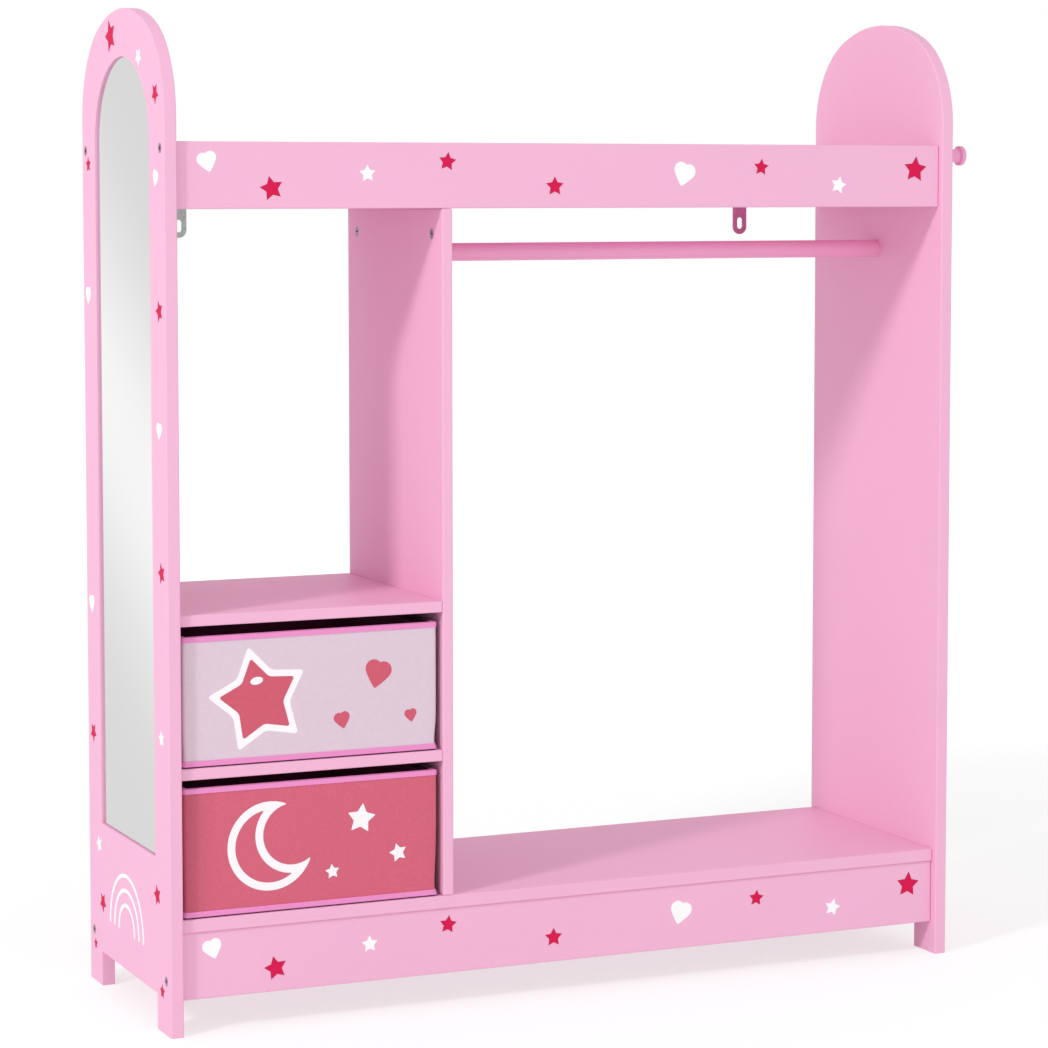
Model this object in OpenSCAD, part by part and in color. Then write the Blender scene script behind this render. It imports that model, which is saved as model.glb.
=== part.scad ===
// Child's dress-up storage unit: two arch-topped side panels, a hanging bay with a rail,
// an open bay over two pull-out fabric bins, a top tray, a base shelf on two aprons,
// an arched mirror let into the left side panel and coat pegs on the right one.
// +X runs along the front to the right, +Y to the back and +Z up. The origin lies on the
// floor, in the middle of the unit's overall width (coat pegs included) and depth.

/* [Carcass] */
// Width over the two side panels
unit_w = 930; // [760:5:1200]
// Depth of the side panels
unit_d = 292; // [260:2:400]
// Height of the side panels
unit_h = 1066; // [1000:2:1300]
// How much lower than half circles the side panels' arched tops are
arch_drop = 30; // [10:1:34]
// Distance of the centres of an arched top's shoulders from the panel's middle
arch_spread = 38; // [35:1:60]
// Thickness of the side panels
side_t = 14; // [14:0.5:22]
// Thickness of the divider, the shelves, the rails and the aprons
board_t = 12; // [12:0.5:18]
// Thickness of the base shelf
base_t = 14; // [12:0.5:22]
// Radius of the rounded arrises of the boards
edge_r = 1.5; // [0.5:0.1:3]
// Radius of the rounded arrises at the ends of the shelves, the rails, the aprons and the divider
end_r = 2; // [0.5:0.1:2.2]
// How far the shelf edges stand back from the side panels' edges
edge_inset = 7; // [3:0.5:20]
// Clear width of the left bay, which holds the bins
left_bay_w = 294; // [240:1:400]

/* [Feet and base] */
// Width of each foot, front to back
foot_w = 46; // [30:1:80]
// Height of the cut-out between the feet
foot_gap_h = 38; // [20:1:60]
// Height of the aprons' lower edge above the floor
apron_z = 36; // [20:1:60]
// Height of the aprons under the base shelf
apron_h = 71; // [65:1:100]
// How far the aprons stand back from the base shelf's edges
apron_inset = 2.5; // [1:0.5:15]

/* [Bin bays] */
// Clear height of the lower bin bay
lower_bay_h = 146; // [110:0.5:200]
// Clear height of the upper bin bay
upper_bay_h = 148; // [110:0.5:200]

/* [Top tray and hanging rod] */
// How far the side panels rise above the tray rails
top_rise = 141; // [110:1:220]
// Height of the tray rails
rail_h = 69; // [50:1:100]
// Diameter of the hanging rod
rod_d = 20; // [16:0.5:25]
// Depth of the rod's axis under the top shelf
rod_drop = 49; // [35:1:120]
// Depth of the rod's blind socket in each panel
rod_socket = 8; // [5:0.5:9]

/* [Mirror] */
// Width of the side panel's border at the front and back of the mirror
mirror_border = 49.5; // [44:0.5:90]
// Width of the side panel's border over the mirror
mirror_top_border = 51; // [44:1:200]
// How much lower than a half circle the mirror's arched top is
mirror_arch_drop = 9; // [4:0.5:12]
// Distance of the centres of that top's shoulders from the mirror's middle
mirror_arch_spread = 15; // [12.5:0.5:30]
// Thickness of the mirror
mirror_t = 3; // [2:0.5:4]
// How far the mirror's face lies below the side panel's face
mirror_reveal = 2.5; // [1.5:0.5:4]
// Height of the mirror pocket's lower edge above the floor
mirror_z = 182; // [150:1:400]
// Thickness of the adhesive tape behind the mirror
tape_t = 1; // [0.5:0.1:1.5]

/* [Coat pegs] */
// How far a peg stands out of the right side panel
peg_len = 40; // [30:1:60]
// Diameter of a peg's head
peg_head_d = 22.4; // [22:0.2:32]
// Thickness of a peg's head
peg_head_t = 6; // [4:0.1:8]
// Diameter of a peg's neck
peg_neck_d = 15; // [12:0.5:18]
// How far the pegs' axes lie below the top of the tray rails
peg_drop = 11; // [8:1:30]
// Distance of each peg from the nearest edge of the panel
peg_edge = 46; // [30:1:100]

/* [Wall brackets] */
// Width of a bracket strip
bracket_w = 18; // [14:0.5:24]
// Length of a bracket strip
bracket_len = 60; // [50:1:80]
// Thickness of a bracket strip
bracket_t = 1.5; // [1:0.1:2]
// Width of a bracket's slots
slot_w = 6.6; // [5:0.1:8]
// Length of a bracket's slots
slot_len = 13.8; // [9:0.1:16]
// Distance from a bracket's end to the middle of its slot
slot_inset = 13.2; // [11:0.1:16]
// How far a bracket hangs below the rear rail
bracket_hang = 33.5; // [25:0.5:40]
// Distance of the left bracket from the left side panel
bracket_inset_left = 93.5; // [40:0.5:200]
// Distance of the right bracket from the right side panel
bracket_inset_right = 106.5; // [40:0.5:200]

/* [Fabric bins] */
// Gap between a bin and the left side panel
bin_gap_left = 4; // [1:0.5:8]
// Gap between a bin and the divider
bin_gap_right = 5; // [1:0.5:15]
// Gap over a bin, in the lower of the two bays
bin_gap_top = 9.5; // [2:0.5:40]
// Gap between a bin's back and the shelf's rear edge
bin_gap_back = 9; // [2:1:60]
// How far a bin's front stands back from the shelf edges
bin_inset = 3; // [2:0.5:12]
// Thickness of the outer fabric, with the printed cloth on the front
bin_outer_t = 1.2; // [1:0.1:2]
// Thickness of the printed cloth on a bin's front
front_cloth_t = 0.6; // [0.4:0.1:0.8]
// Thickness of the lining
bin_lining_t = 1; // [0.8:0.1:2]
// Thickness of the cardboard stiffeners
card_t = 2; // [1.5:0.1:3]
// Height of the tape that is folded over a bin's rim, pink at the front and dark elsewhere
rim_tape_h = 5; // [4:0.5:15]
// Height of the pink tape along a bin's front foot
foot_tape_h = 5.8; // [4:0.1:15]
// Height of that tape's lower edge above the bin's underside
foot_tape_rise = 1.2; // [0.5:0.1:3]
// How far the pink tapes reach round a bin's front corners
tape_wrap = 8; // [7:0.5:20]
// Thickness of the binding tape
binding_t = 0.8; // [0.5:0.1:1.2]
// Radius of a bin's upright corners
bin_corner_r = 3.5; // [3:0.5:12]

/* [Fasteners] */
// Diameter of the connector screws' shank
screw_d = 5; // [4:0.1:5.5]
// Diameter of the connector screws' head
screw_head_d = 10.5; // [8:0.1:12]
// Length of the connector screws
screw_len = 50; // [40:1:60]
// Diameter of the cam locks
cam_d = 12; // [10:0.5:12]
// Distance from a cam lock's axis to the board's end
cam_reach = 27; // [20:1:34]
// Distance of the cam locks from the boards' front and rear edges
cam_edge = 29; // [26:0.5:30]
// Diameter of the wooden dowels
dowel_d = 6; // [5:0.5:7]
// Length of the wooden dowels
dowel_len = 28; // [24:1:40]
// Distance of the shelves' dowels from the boards' front and rear edges
dowel_edge = 19; // [17:0.5:19]

/* [Hidden] */
$fn = 64;

// Clearances
fit_gap = 0.1; // round a fastener, in radius
rod_gap = 0.15; // round the rod in its sockets, in radius
mirror_gap = 0.5; // round the mirror in its pocket
slide_gap = 0.3; // under a bin
pocket_gap = 0.2; // round a stiffener in its pocket

// Carcass, measured from the middle of the carcass
half_w = unit_w / 2;
half_d = unit_d / 2;
inner_x = half_w - side_t; // inner face of the right side panel
arch_z = unit_h - half_d + arch_drop; // foot of the arched tops
mirror_w = unit_d - 2 * mirror_border;
mirror_top_z = unit_h - mirror_top_border;
mirror_arch_z = mirror_top_z - mirror_w / 2 + mirror_arch_drop; // foot of the mirror's arched top
shelf_half_d = half_d - edge_inset;
divider_x = -inner_x + left_bay_w; // left face of the divider

// Heights
base_z = apron_z + apron_h; // underside of the base shelf
base_top_z = base_z + base_t;
middle_shelf_z = base_top_z + lower_bay_h;
bay_shelf_z = middle_shelf_z + board_t + upper_bay_h;
rail_top_z = unit_h - top_rise;
rail_z = rail_top_z - rail_h; // lower edge of the rails, and underside of the top shelf
rod_z = rail_z - rod_drop;
rail_y = shelf_half_d - board_t / 2; // middle of the rails' thickness
apron_y = rail_y - apron_inset;
cam_y = shelf_half_d - cam_edge;
dowel_y = shelf_half_d - dowel_edge;
peg_y = half_d - peg_edge;
peg_z = rail_top_z - peg_drop;
BRACKET_X = [-inner_x + bracket_inset_left, inner_x - bracket_inset_right];

// Fastener places
rail_screw_drop = 7; // below the rails' top edge
apron_screw_rise = 21; // above the aprons' lower edge
rail_dowel_drop = 48; // below the rails' top edge
apron_dowel_rise = 50; // above the aprons' lower edge
screw_head_h = 3;
socket_af = 4; // hex socket, across flats
socket_depth = 2.4;
dowel_in_panel = 8; // the rest of a dowel is in the board's end
cam_bolt_d = 4;
cam_bolt_head_d = 6;
cam_bolt_head_h = 2.4;
cam_thread_d = 5;
cam_thread_len = 8;
cam_slot_w = 1.4;
cam_slot_depth = 1.8;
cam_rise = board_t / 2; // height of a cam bolt above the board's face
cam_depth = cam_rise + cam_bolt_head_d / 2 + 0.5;

// Small screws
small_screw_d = 4;
small_head_d = 8;
peg_screw_len = 36;
bracket_screw_len = 10;
bracket_head_h = 2;

// Bins
bin_w = left_bay_w - bin_gap_left - bin_gap_right;
bin_h = min(lower_bay_h, upper_bay_h) - bin_gap_top;
bin_x = -inner_x + bin_gap_left + bin_w / 2; // middle of a bin
shell_w = bin_w - 2 * binding_t;
shell_d = 2 * shelf_half_d - bin_inset - binding_t - bin_gap_back;
bin_y = shelf_half_d - bin_gap_back - shell_d / 2;
inner_corner_r = bin_corner_r - 2;
cloth_wrap = tape_wrap - 2; // how far the printed cloth reaches round a bin's front corners
shell_h = bin_h - binding_t;
card_pocket_t = card_t + 2 * pocket_gap;
bin_wall = bin_outer_t + card_pocket_t + bin_lining_t;
card_margin = 12; // from a bin's corner to a stiffener's end
card_bottom = 4;
base_board_t = 3;
base_board_gap = 1;

// Colours
PINK = "#f6b6d8";
DEEP_PINK = "#e79bc6";
BINDING_PINK = "#f08ccf";
PLUM_CLOTH = "#54213a";
LILAC_CLOTH = "#e6d0dd";
RED_CLOTH = "#d6617a";
STEEL = "#a9a9ad";
MIRROR = "#dfe3e4";
BARE_WOOD = "#d9b98c";
CARD = "#b79f7c";
TAPE = "#f2f2ee";

// ---------------------------------------------------------------- shapes that repeat

// Rectangle centred on the origin, with round corners
module rounded_rect(w, h, r) {
    square([w - 2 * r, h], center = true);
    square([w, h - 2 * r], center = true);
    for (sx = [-1, 1], sy = [-1, 1])
        translate([sx * (w / 2 - r), sy * (h / 2 - r)]) circle(r);
}

// Board centred on the origin, its long edges, which run along X, and its ends rounded
module board(length, w, h) {
    intersection() {
        rotate([90, 0, 90]) linear_extrude(length, center = true) rounded_rect(w, h, edge_r);
        linear_extrude(h, center = true) rounded_rect(length, w, end_r);
        rotate([90, 0, 0]) linear_extrude(w, center = true) rounded_rect(length, h, end_r);
    }
}

// Board that lies flat: spans x0 to x1, depth y0 to y1, from z up
module flat_board(x0, x1, y0, y1, z, t) {
    translate([(x0 + x1) / 2, (y0 + y1) / 2, z + t / 2]) board(x1 - x0, y1 - y0, t);
}

// Board that stands on its long edge: y is its middle
module edge_board(x0, x1, y, z, h, t) {
    translate([(x0 + x1) / 2, y, z + h / 2]) board(x1 - x0, t, h);
}

// Turns a shape that points along +Z so that it points along +X or -X
module along_x(dir) {
    rotate([0, dir * 90, 0]) children();
}

// Round bar or bore along X, from x to x + length in direction dir
module x_bar(x, y, z, d, length, dir = 1) {
    translate([x, y, z]) along_x(dir) cylinder(d = d, h = length);
}

// Countersunk screw with its head's top at the origin, pointing along +Z
module countersunk_screw(d, head_d, length) {
    difference() {
        union() {
            cylinder(d1 = head_d, d2 = d, h = screw_head_h);
            cylinder(d = d, h = length);
        }
        translate([0, 0, -1]) cylinder(d = socket_af / cos(30), h = 1 + socket_depth, $fn = 6);
    }
}

// The hole that such a screw needs
module screw_bore(d, head_d, length) {
    translate([0, 0, -0.01]) {
        cylinder(d1 = head_d + 2 * fit_gap, d2 = d + 2 * fit_gap, h = screw_head_h);
        cylinder(d = d + 2 * fit_gap, h = length + fit_gap);
    }
}

// An arched top has three centres: two shoulders, spread from the middle, and a crown that
// runs into them. The crown's radius exceeds the top's half width by this much.
function crown_excess(spread, drop) = drop * drop / (2 * (spread - drop));

// Direction from the crown's centre to a shoulder's centre, where the two arcs meet
function crown_ray(spread, drop) = [spread, drop + crown_excess(spread, drop)];

// Wedge that keeps the crown's part of a disc of radius r about the origin
function crown_wedge(ray, r) =
    let (k = ceil(r / ray[1]) + 1) [[0, 0], k * ray, k * [-ray[0], ray[1]]];

// Wedge that keeps the shoulder's part of such a disc; side is 1 for +Y and -1 for -Y
function shoulder_wedge(ray, r, side) =
    let (k = ceil(r / ray[1]) + 1)
    [[0, 0], [side * 4 * r, 0], [side * 4 * r, k * ray[1]], k * [side * ray[0], ray[1]]];

// Shape of the mirror and of its pocket, which is larger by grow on each side, in the plane of
// the side panel (Y across, Z up)
module mirror_outline(bottom_z, grow = 0) {
    half = mirror_w / 2 + grow;
    shoulder = half - mirror_arch_spread;
    crown = half + crown_excess(mirror_arch_spread, mirror_arch_drop);
    ray = crown_ray(mirror_arch_spread, mirror_arch_drop);
    translate([-half, bottom_z]) square([2 * half, mirror_arch_z - bottom_z]);
    for (side = [-1, 1])
        translate([side * mirror_arch_spread, mirror_arch_z]) intersection() {
            circle(shoulder, $fn = 128);
            polygon(shoulder_wedge(ray, shoulder, side));
        }
    translate([0, mirror_top_z + grow - crown]) intersection() {
        circle(crown, $fn = 128);
        polygon(crown_wedge(ray, crown));
    }
}

// Stands a flat outline (Y across, Z up) in the panel's plane, from x in direction +X
module upright(x, t) {
    translate([x, 0, 0]) rotate([90, 0, 90]) linear_extrude(t) children();
}

// ---------------------------------------------------------------- fastener places

// Places of the four connector screws in a side panel, as [y, z]
PANEL_SCREWS = [
    for (s = [-1, 1]) each [
        [s * rail_y, rail_top_z - rail_screw_drop],
        [s * apron_y, apron_z + apron_screw_rise]
    ]
];

// Places of the dowels in the ends of the rails and aprons, as [y, z]
EDGE_DOWELS = [
    for (s = [-1, 1]) each [
        [s * rail_y, rail_top_z - rail_dowel_drop],
        [s * apron_y, apron_z + apron_dowel_rise]
    ]
];

// Heights of the cam bolts in the ends of the shelves
TOP_BOLT_Z = rail_z + cam_rise;
BAY_BOLT_Z = bay_shelf_z + cam_rise;
MIDDLE_BOLT_Z = middle_shelf_z + cam_rise;
BASE_BOLT_Z = base_z + cam_rise;

// Ends of shelves held by cam locks, as [x of the end, direction into the shelf, bolt height, underside]
SHELF_ENDS = [
    for (e = [[-inner_x, 1], [inner_x, -1]]) each [
        [e[0], e[1], TOP_BOLT_Z, rail_z],
        [e[0], e[1], BASE_BOLT_Z, base_z]
    ],
    for (e = [[-inner_x, 1], [divider_x, -1]]) each [
        [e[0], e[1], BAY_BOLT_Z, bay_shelf_z],
        [e[0], e[1], MIDDLE_BOLT_Z, middle_shelf_z]
    ]
];
LEFT_ENDS = [for (e = SHELF_ENDS) if (e[0] == -inner_x) e];
RIGHT_ENDS = [for (e = SHELF_ENDS) if (e[0] == inner_x) e];
DIVIDER_ENDS = [for (e = SHELF_ENDS) if (e[0] == divider_x) e];

// Cam lock seen along +Z from its open face at the origin; its bolt comes in along -Y
module cam_lock() {
    difference() {
        cylinder(d = cam_d, h = cam_depth);
        for (a = [0, 90])
            rotate(a) translate([-cam_d / 3, -cam_slot_w / 2, -1])
                cube([2 * cam_d / 3, cam_slot_w, 1 + cam_slot_depth]);
        translate([0, cam_bolt_head_h, cam_rise]) rotate([90, 0, 0])
            cylinder(d = cam_bolt_head_d + 2 * fit_gap, h = cam_d);
    }
}

// Cam bolt along +Z: its thread lies below the origin and its head ends at the cam lock's axis
module cam_bolt() {
    translate([0, 0, -cam_thread_len]) cylinder(d = cam_thread_d, h = cam_thread_len);
    cylinder(d = cam_bolt_d, h = cam_reach);
    translate([0, 0, cam_reach - cam_bolt_head_h / 2]) cylinder(d = cam_bolt_head_d, h = cam_bolt_head_h);
}

// Bores of one cam joint in the board that holds the cam lock: along +Z from its end
module cam_bolt_bore() {
    translate([0, 0, -1]) cylinder(d = cam_bolt_head_d + 1, h = cam_reach + 1);
}

// Puts a shape that points along +Z at each cam joint of a list of shelf ends
module at_cam_bolts(ends) {
    for (e = ends, s = [-1, 1]) translate([e[0], s * cam_y, e[2]]) along_x(e[1]) children();
}

// Puts a cam lock, or its seat, under each shelf end, its open face down
module at_shelf_cams(ends) {
    for (e = ends, s = [-1, 1])
        translate([e[0] + e[1] * cam_reach, s * cam_y, e[3]]) rotate([0, 0, e[1] * -90]) children();
}

// Puts a shape at the two cam joints in the divider's top, pointing up
module at_divider_bolts() {
    for (s = [-1, 1]) translate([divider_x + board_t / 2, s * cam_y, rail_z]) mirror([0, 0, 1]) children();
}

// Puts a cam lock, or its seat, on the divider's left face, its open face to the left
module at_divider_cams() {
    for (s = [-1, 1])
        translate([divider_x, s * cam_y, rail_z - cam_reach]) rotate([0, 90, 0]) rotate(-90) children();
}

module cam_seat() {
    translate([0, 0, -1]) cylinder(d = cam_d + 2 * fit_gap, h = cam_depth + 1 + fit_gap);
}

// Dowels, or their bores, in the ends of shelves, rails and aprons; grow widens and lengthens them
module dowel_at(x, dir, y, z, grow = 0) {
    x_bar(x - dir * (dowel_in_panel + grow), y, z, dowel_d + 2 * grow, dowel_len + 2 * grow, dir);
}

module shelf_dowels(ends, grow = 0) {
    for (e = ends, s = [-1, 1]) dowel_at(e[0], e[1], s * dowel_y, e[2], grow);
}

module edge_dowels(x, dir, grow = 0) {
    for (p = EDGE_DOWELS) dowel_at(x, dir, p[0], p[1], grow);
}

// Dowels in the divider's top and foot, which stand upright
module divider_dowels(grow = 0) {
    for (z = [rail_z + dowel_in_panel, base_top_z + dowel_len - dowel_in_panel])
        translate([divider_x + board_t / 2, 0, z - dowel_len - grow])
            cylinder(d = dowel_d + 2 * grow, h = dowel_len + 2 * grow);
}

module panel_screw_places(dir) {
    for (p = PANEL_SCREWS) translate([-dir * half_w, p[0], p[1]]) along_x(dir) children();
}

module rod_screw_place() {
    translate([half_w, 0, rod_z]) along_x(-1) children();
}

module divider_foot_screw_places() {
    for (s = [-1, 1]) translate([divider_x + board_t / 2, s * cam_y, base_z]) children();
}

module peg_screw_places() {
    for (s = [-1, 1]) translate([inner_x, s * peg_y, peg_z]) along_x(1) children();
}

module bracket_screw_places() {
    for (x = BRACKET_X)
        translate([x, shelf_half_d, rail_z - bracket_hang + bracket_len - slot_inset])
            rotate([90, 0, 0]) children();
}

// ---------------------------------------------------------------- side panels

// Part of a panel's arched top that lies in a wedge: a disc about (y, z) with rounded arrises
module top_sector(y, z, r, wedge) {
    translate([0, y, z]) intersection() {
        rotate([0, 90, 0]) rotate_extrude($fn = 128) intersection() {
            rounded_rect(2 * r, side_t, edge_r);
            translate([0, -side_t]) square([2 * r, 2 * side_t]);
        }
        upright(-side_t, 2 * side_t) polygon(wedge);
    }
}

// Arch-topped panel with rounded arrises and two feet; x0 is its left face
module side_panel_blank(x0) {
    shoulder = half_d - arch_spread;
    crown = half_d + crown_excess(arch_spread, arch_drop);
    ray = crown_ray(arch_spread, arch_drop);
    difference() {
        translate([x0 + side_t / 2, 0, 0]) {
            linear_extrude(arch_z) rounded_rect(side_t, unit_d, edge_r);
            for (side = [-1, 1])
                top_sector(side * arch_spread, arch_z, shoulder, shoulder_wedge(ray, shoulder, side));
            top_sector(0, unit_h - crown, crown, crown_wedge(ray, crown));
        }
        translate([x0 - 1, -half_d + foot_w, -1]) cube([side_t + 2, unit_d - 2 * foot_w, foot_gap_h + 1]);
    }
}

module panel_bores(dir, ends) {
    panel_screw_places(dir) screw_bore(screw_d, screw_head_d, screw_len);
    edge_dowels(-dir * inner_x, dir, fit_gap);
    shelf_dowels(ends, fit_gap);
    at_cam_bolts(ends) translate([0, 0, -cam_thread_len - fit_gap])
        cylinder(d = cam_thread_d + 2 * fit_gap, h = cam_thread_len + 1);
}

module left_side_panel() {
    color(PINK) difference() {
        side_panel_blank(-half_w);
        upright(-half_w - 1, mirror_reveal + mirror_t + tape_t + 1)
            mirror_outline(mirror_z, mirror_gap);
        panel_bores(1, LEFT_ENDS);
    }
}

module right_side_panel() {
    color(PINK) difference() {
        side_panel_blank(inner_x);
        panel_bores(-1, RIGHT_ENDS);
        x_bar(inner_x - 1, 0, rod_z, rod_d + 2 * rod_gap, rod_socket + 1);
        rod_screw_place() screw_bore(screw_d, screw_head_d, screw_len);
        peg_screw_places() screw_bore(small_screw_d, small_head_d, peg_screw_len);
    }
}

module divider_panel() {
    color(PINK) difference() {
        translate([divider_x + board_t / 2, 0, (base_top_z + rail_z) / 2])
            rotate([0, -90, 0]) board(rail_z - base_top_z, 2 * shelf_half_d, board_t);
        at_divider_cams() cam_seat();
        at_divider_bolts() cam_bolt_bore();
        divider_foot_screw_places() screw_bore(screw_d, screw_head_d, screw_len);
        divider_dowels(fit_gap);
        shelf_dowels(DIVIDER_ENDS, fit_gap);
        at_cam_bolts(DIVIDER_ENDS) translate([0, 0, -cam_thread_len - fit_gap])
            cylinder(d = cam_thread_d + 2 * fit_gap, h = cam_thread_len + 1);
        x_bar(divider_x + board_t + 1, 0, rod_z, rod_d + 2 * rod_gap, rod_socket + 1, -1);
    }
}

// ---------------------------------------------------------------- shelves, rails, aprons

// The bores that a shelf needs at the ends of a list
module shelf_bores(ends) {
    at_shelf_cams(ends) cam_seat();
    at_cam_bolts(ends) cam_bolt_bore();
    shelf_dowels(ends, fit_gap);
}

module top_shelf() {
    color(PINK) difference() {
        flat_board(-inner_x, inner_x, -shelf_half_d + board_t, shelf_half_d - board_t, rail_z, board_t);
        shelf_bores([for (e = SHELF_ENDS) if (e[2] == TOP_BOLT_Z) e]);
        at_divider_bolts() translate([0, 0, -cam_thread_len - fit_gap])
            cylinder(d = cam_thread_d + 2 * fit_gap, h = cam_thread_len + 1);
        divider_dowels(fit_gap);
    }
}

module bin_bay_shelf(z, bolt_z) {
    color(PINK) difference() {
        flat_board(-inner_x, divider_x, -shelf_half_d, shelf_half_d, z, board_t);
        shelf_bores([for (e = SHELF_ENDS) if (e[2] == bolt_z) e]);
    }
}

module base_shelf() {
    color(PINK) difference() {
        flat_board(-inner_x, inner_x, -shelf_half_d, shelf_half_d, base_z, base_t);
        shelf_bores([for (e = SHELF_ENDS) if (e[2] == BASE_BOLT_Z) e]);
        divider_foot_screw_places() screw_bore(screw_d, screw_head_d, screw_len);
        divider_dowels(fit_gap);
    }
}

// Rail or apron on edge between the side panels; side is -1 at the front and 1 at the back
module cross_board(y, z, h) {
    color(PINK) difference() {
        edge_board(-inner_x, inner_x, y, z, h, board_t);
        for (dir = [-1, 1]) {
            panel_screw_places(dir) screw_bore(screw_d, screw_head_d, screw_len);
            edge_dowels(-dir * inner_x, dir, fit_gap);
        }
        children();
    }
}

module top_front_rail() {
    cross_board(-rail_y, rail_z, rail_h);
}

module top_rear_rail() {
    cross_board(rail_y, rail_z, rail_h)
        bracket_screw_places() translate([0, 0, -1])
            cylinder(d = small_screw_d + 2 * fit_gap, h = bracket_screw_len + 1);
}

module base_front_apron() {
    cross_board(-apron_y, apron_z, apron_h);
}

module base_rear_apron() {
    cross_board(apron_y, apron_z, apron_h);
}

// ---------------------------------------------------------------- mirror

module side_mirror() {
    color(MIRROR) upright(-half_w + mirror_reveal, mirror_t)
        mirror_outline(mirror_z + mirror_gap);
}

// Three strips of foam tape down the back of the mirror
module mirror_tape_strips() {
    strip_w = 20;
    strip_margin = 25;
    strip_len = mirror_arch_z - mirror_z - strip_margin;
    color(TAPE) translate([-half_w + mirror_reveal + mirror_t, 0, mirror_z + strip_margin])
        for (s = [-1, 0, 1])
            translate([0, s * mirror_w / 3 - strip_w / 2, 0]) cube([tape_t, strip_w, strip_len]);
}

// ---------------------------------------------------------------- hanging rod and coat pegs

module hanging_rod() {
    x0 = divider_x + board_t - rod_socket + rod_gap;
    x1 = inner_x + rod_socket - rod_gap;
    color(DEEP_PINK) difference() {
        x_bar(x0, 0, rod_z, rod_d, x1 - x0);
        rod_screw_place() screw_bore(screw_d, screw_head_d, screw_len);
    }
}

// Turned peg: a neck that flares a little into a flat head with rounded edges
module coat_peg(side) {
    head_r = peg_head_d / 2;
    neck_r = peg_neck_d / 2;
    round_r = 1.6;
    flare = 2.5;
    bore_depth = peg_screw_len - side_t + fit_gap;
    color(DEEP_PINK) translate([half_w, side * peg_y, peg_z]) along_x(1) difference() {
        rotate_extrude() difference() {
            union() {
                square([neck_r, peg_len - peg_head_t]);
                translate([0, peg_len - peg_head_t - flare]) square([neck_r + flare, flare]);
                translate([0, peg_len - peg_head_t]) square([head_r - round_r, peg_head_t]);
                translate([0, peg_len - peg_head_t + round_r]) square([head_r, peg_head_t - 2 * round_r]);
                for (y = [peg_len - peg_head_t + round_r, peg_len - round_r])
                    translate([head_r - round_r, y]) circle(round_r);
            }
            translate([neck_r + flare, peg_len - peg_head_t - flare]) circle(flare);
        }
        translate([0, 0, -1]) cylinder(d = small_screw_d + 2 * fit_gap, h = bore_depth + 1);
    }
}

module coat_peg_screws() {
    color(STEEL) peg_screw_places() countersunk_screw(small_screw_d, small_head_d, peg_screw_len);
}

// ---------------------------------------------------------------- fasteners

module panel_screws_left() {
    color(STEEL) panel_screw_places(1) countersunk_screw(screw_d, screw_head_d, screw_len);
}

// The right side panel has one more, which holds the hanging rod
module panel_screws_right() {
    color(STEEL) {
        panel_screw_places(-1) countersunk_screw(screw_d, screw_head_d, screw_len);
        rod_screw_place() countersunk_screw(screw_d, screw_head_d, screw_len);
    }
}

module divider_foot_screws() {
    color(STEEL) divider_foot_screw_places() countersunk_screw(screw_d, screw_head_d, screw_len);
}

module cam_locks() {
    color(STEEL) {
        at_shelf_cams(SHELF_ENDS) cam_lock();
        at_divider_cams() cam_lock();
    }
}

module cam_bolts() {
    color(STEEL) {
        at_cam_bolts(SHELF_ENDS) cam_bolt();
        at_divider_bolts() cam_bolt();
    }
}

module wood_dowels() {
    color(BARE_WOOD) {
        shelf_dowels(SHELF_ENDS);
        for (dir = [-1, 1]) edge_dowels(-dir * inner_x, dir);
        divider_dowels();
    }
}

// ---------------------------------------------------------------- wall brackets

module slot_outline(w, length) {
    for (s = [-1, 1]) translate([0, s * (length - w) / 2]) circle(d = w);
    square([w, length - w], center = true);
}

// Flat steel strip with round ends and a slot near each end, on the rear rail's back
module wall_bracket(x) {
    mid_z = rail_z - bracket_hang + bracket_len / 2;
    color(STEEL) translate([x, shelf_half_d + bracket_t, mid_z])
        rotate([90, 0, 0]) linear_extrude(bracket_t) difference() {
            slot_outline(bracket_w, bracket_len);
            for (s = [-1, 1])
                translate([0, s * (bracket_len / 2 - slot_inset)]) slot_outline(slot_w, slot_len);
        }
}

// Pan-head screws that hold the brackets
module wall_bracket_screws() {
    color(STEEL) bracket_screw_places() {
        cylinder(d = small_screw_d, h = bracket_screw_len);
        translate([0, 0, -bracket_t]) cylinder(d = small_screw_d, h = bracket_t);
        translate([0, 0, -bracket_t - bracket_head_h])
            cylinder(d1 = small_head_d - 2, d2 = small_head_d, h = bracket_head_h);
    }
}

// ---------------------------------------------------------------- fabric bins

// Height of a bin's underside above the floor
function bin_z(level) = (level == 0 ? base_top_z : middle_shelf_z + board_t) + slide_gap;

module in_bin(level) {
    translate([bin_x, bin_y, bin_z(level)]) children();
}

// Centres and sizes of the four wall stiffeners, as [x, y, size in x, size in y]
CARDS = [
    for (s = [-1, 1]) each [
        [0, s * (shell_d / 2 - bin_outer_t - card_pocket_t / 2), shell_w - 2 * card_margin, card_t],
        [s * (shell_w / 2 - bin_outer_t - card_pocket_t / 2), 0, card_t, shell_d - 2 * card_margin]
    ]
];

// The wall stiffeners, or with grow their pockets, which are open at the rim
module wall_cards(grow, top) {
    for (c = CARDS)
        translate([c[0] - c[2] / 2 - grow, c[1] - c[3] / 2 - grow, card_bottom - grow])
            cube([c[2] + 2 * grow, c[3] + 2 * grow, top - card_bottom + grow]);
}

// Outline of a bin's inside, taken in by a given amount
module inner_outline(less = 0) {
    side = bin_wall + less;
    rounded_rect(shell_w - 2 * side, shell_d - 2 * side, inner_corner_r - less);
}

// Outline of a bin's outside, moved out by a given amount
module outer_outline(more = 0) {
    rounded_rect(shell_w + 2 * more, shell_d + 2 * more, bin_corner_r + more);
}

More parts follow.
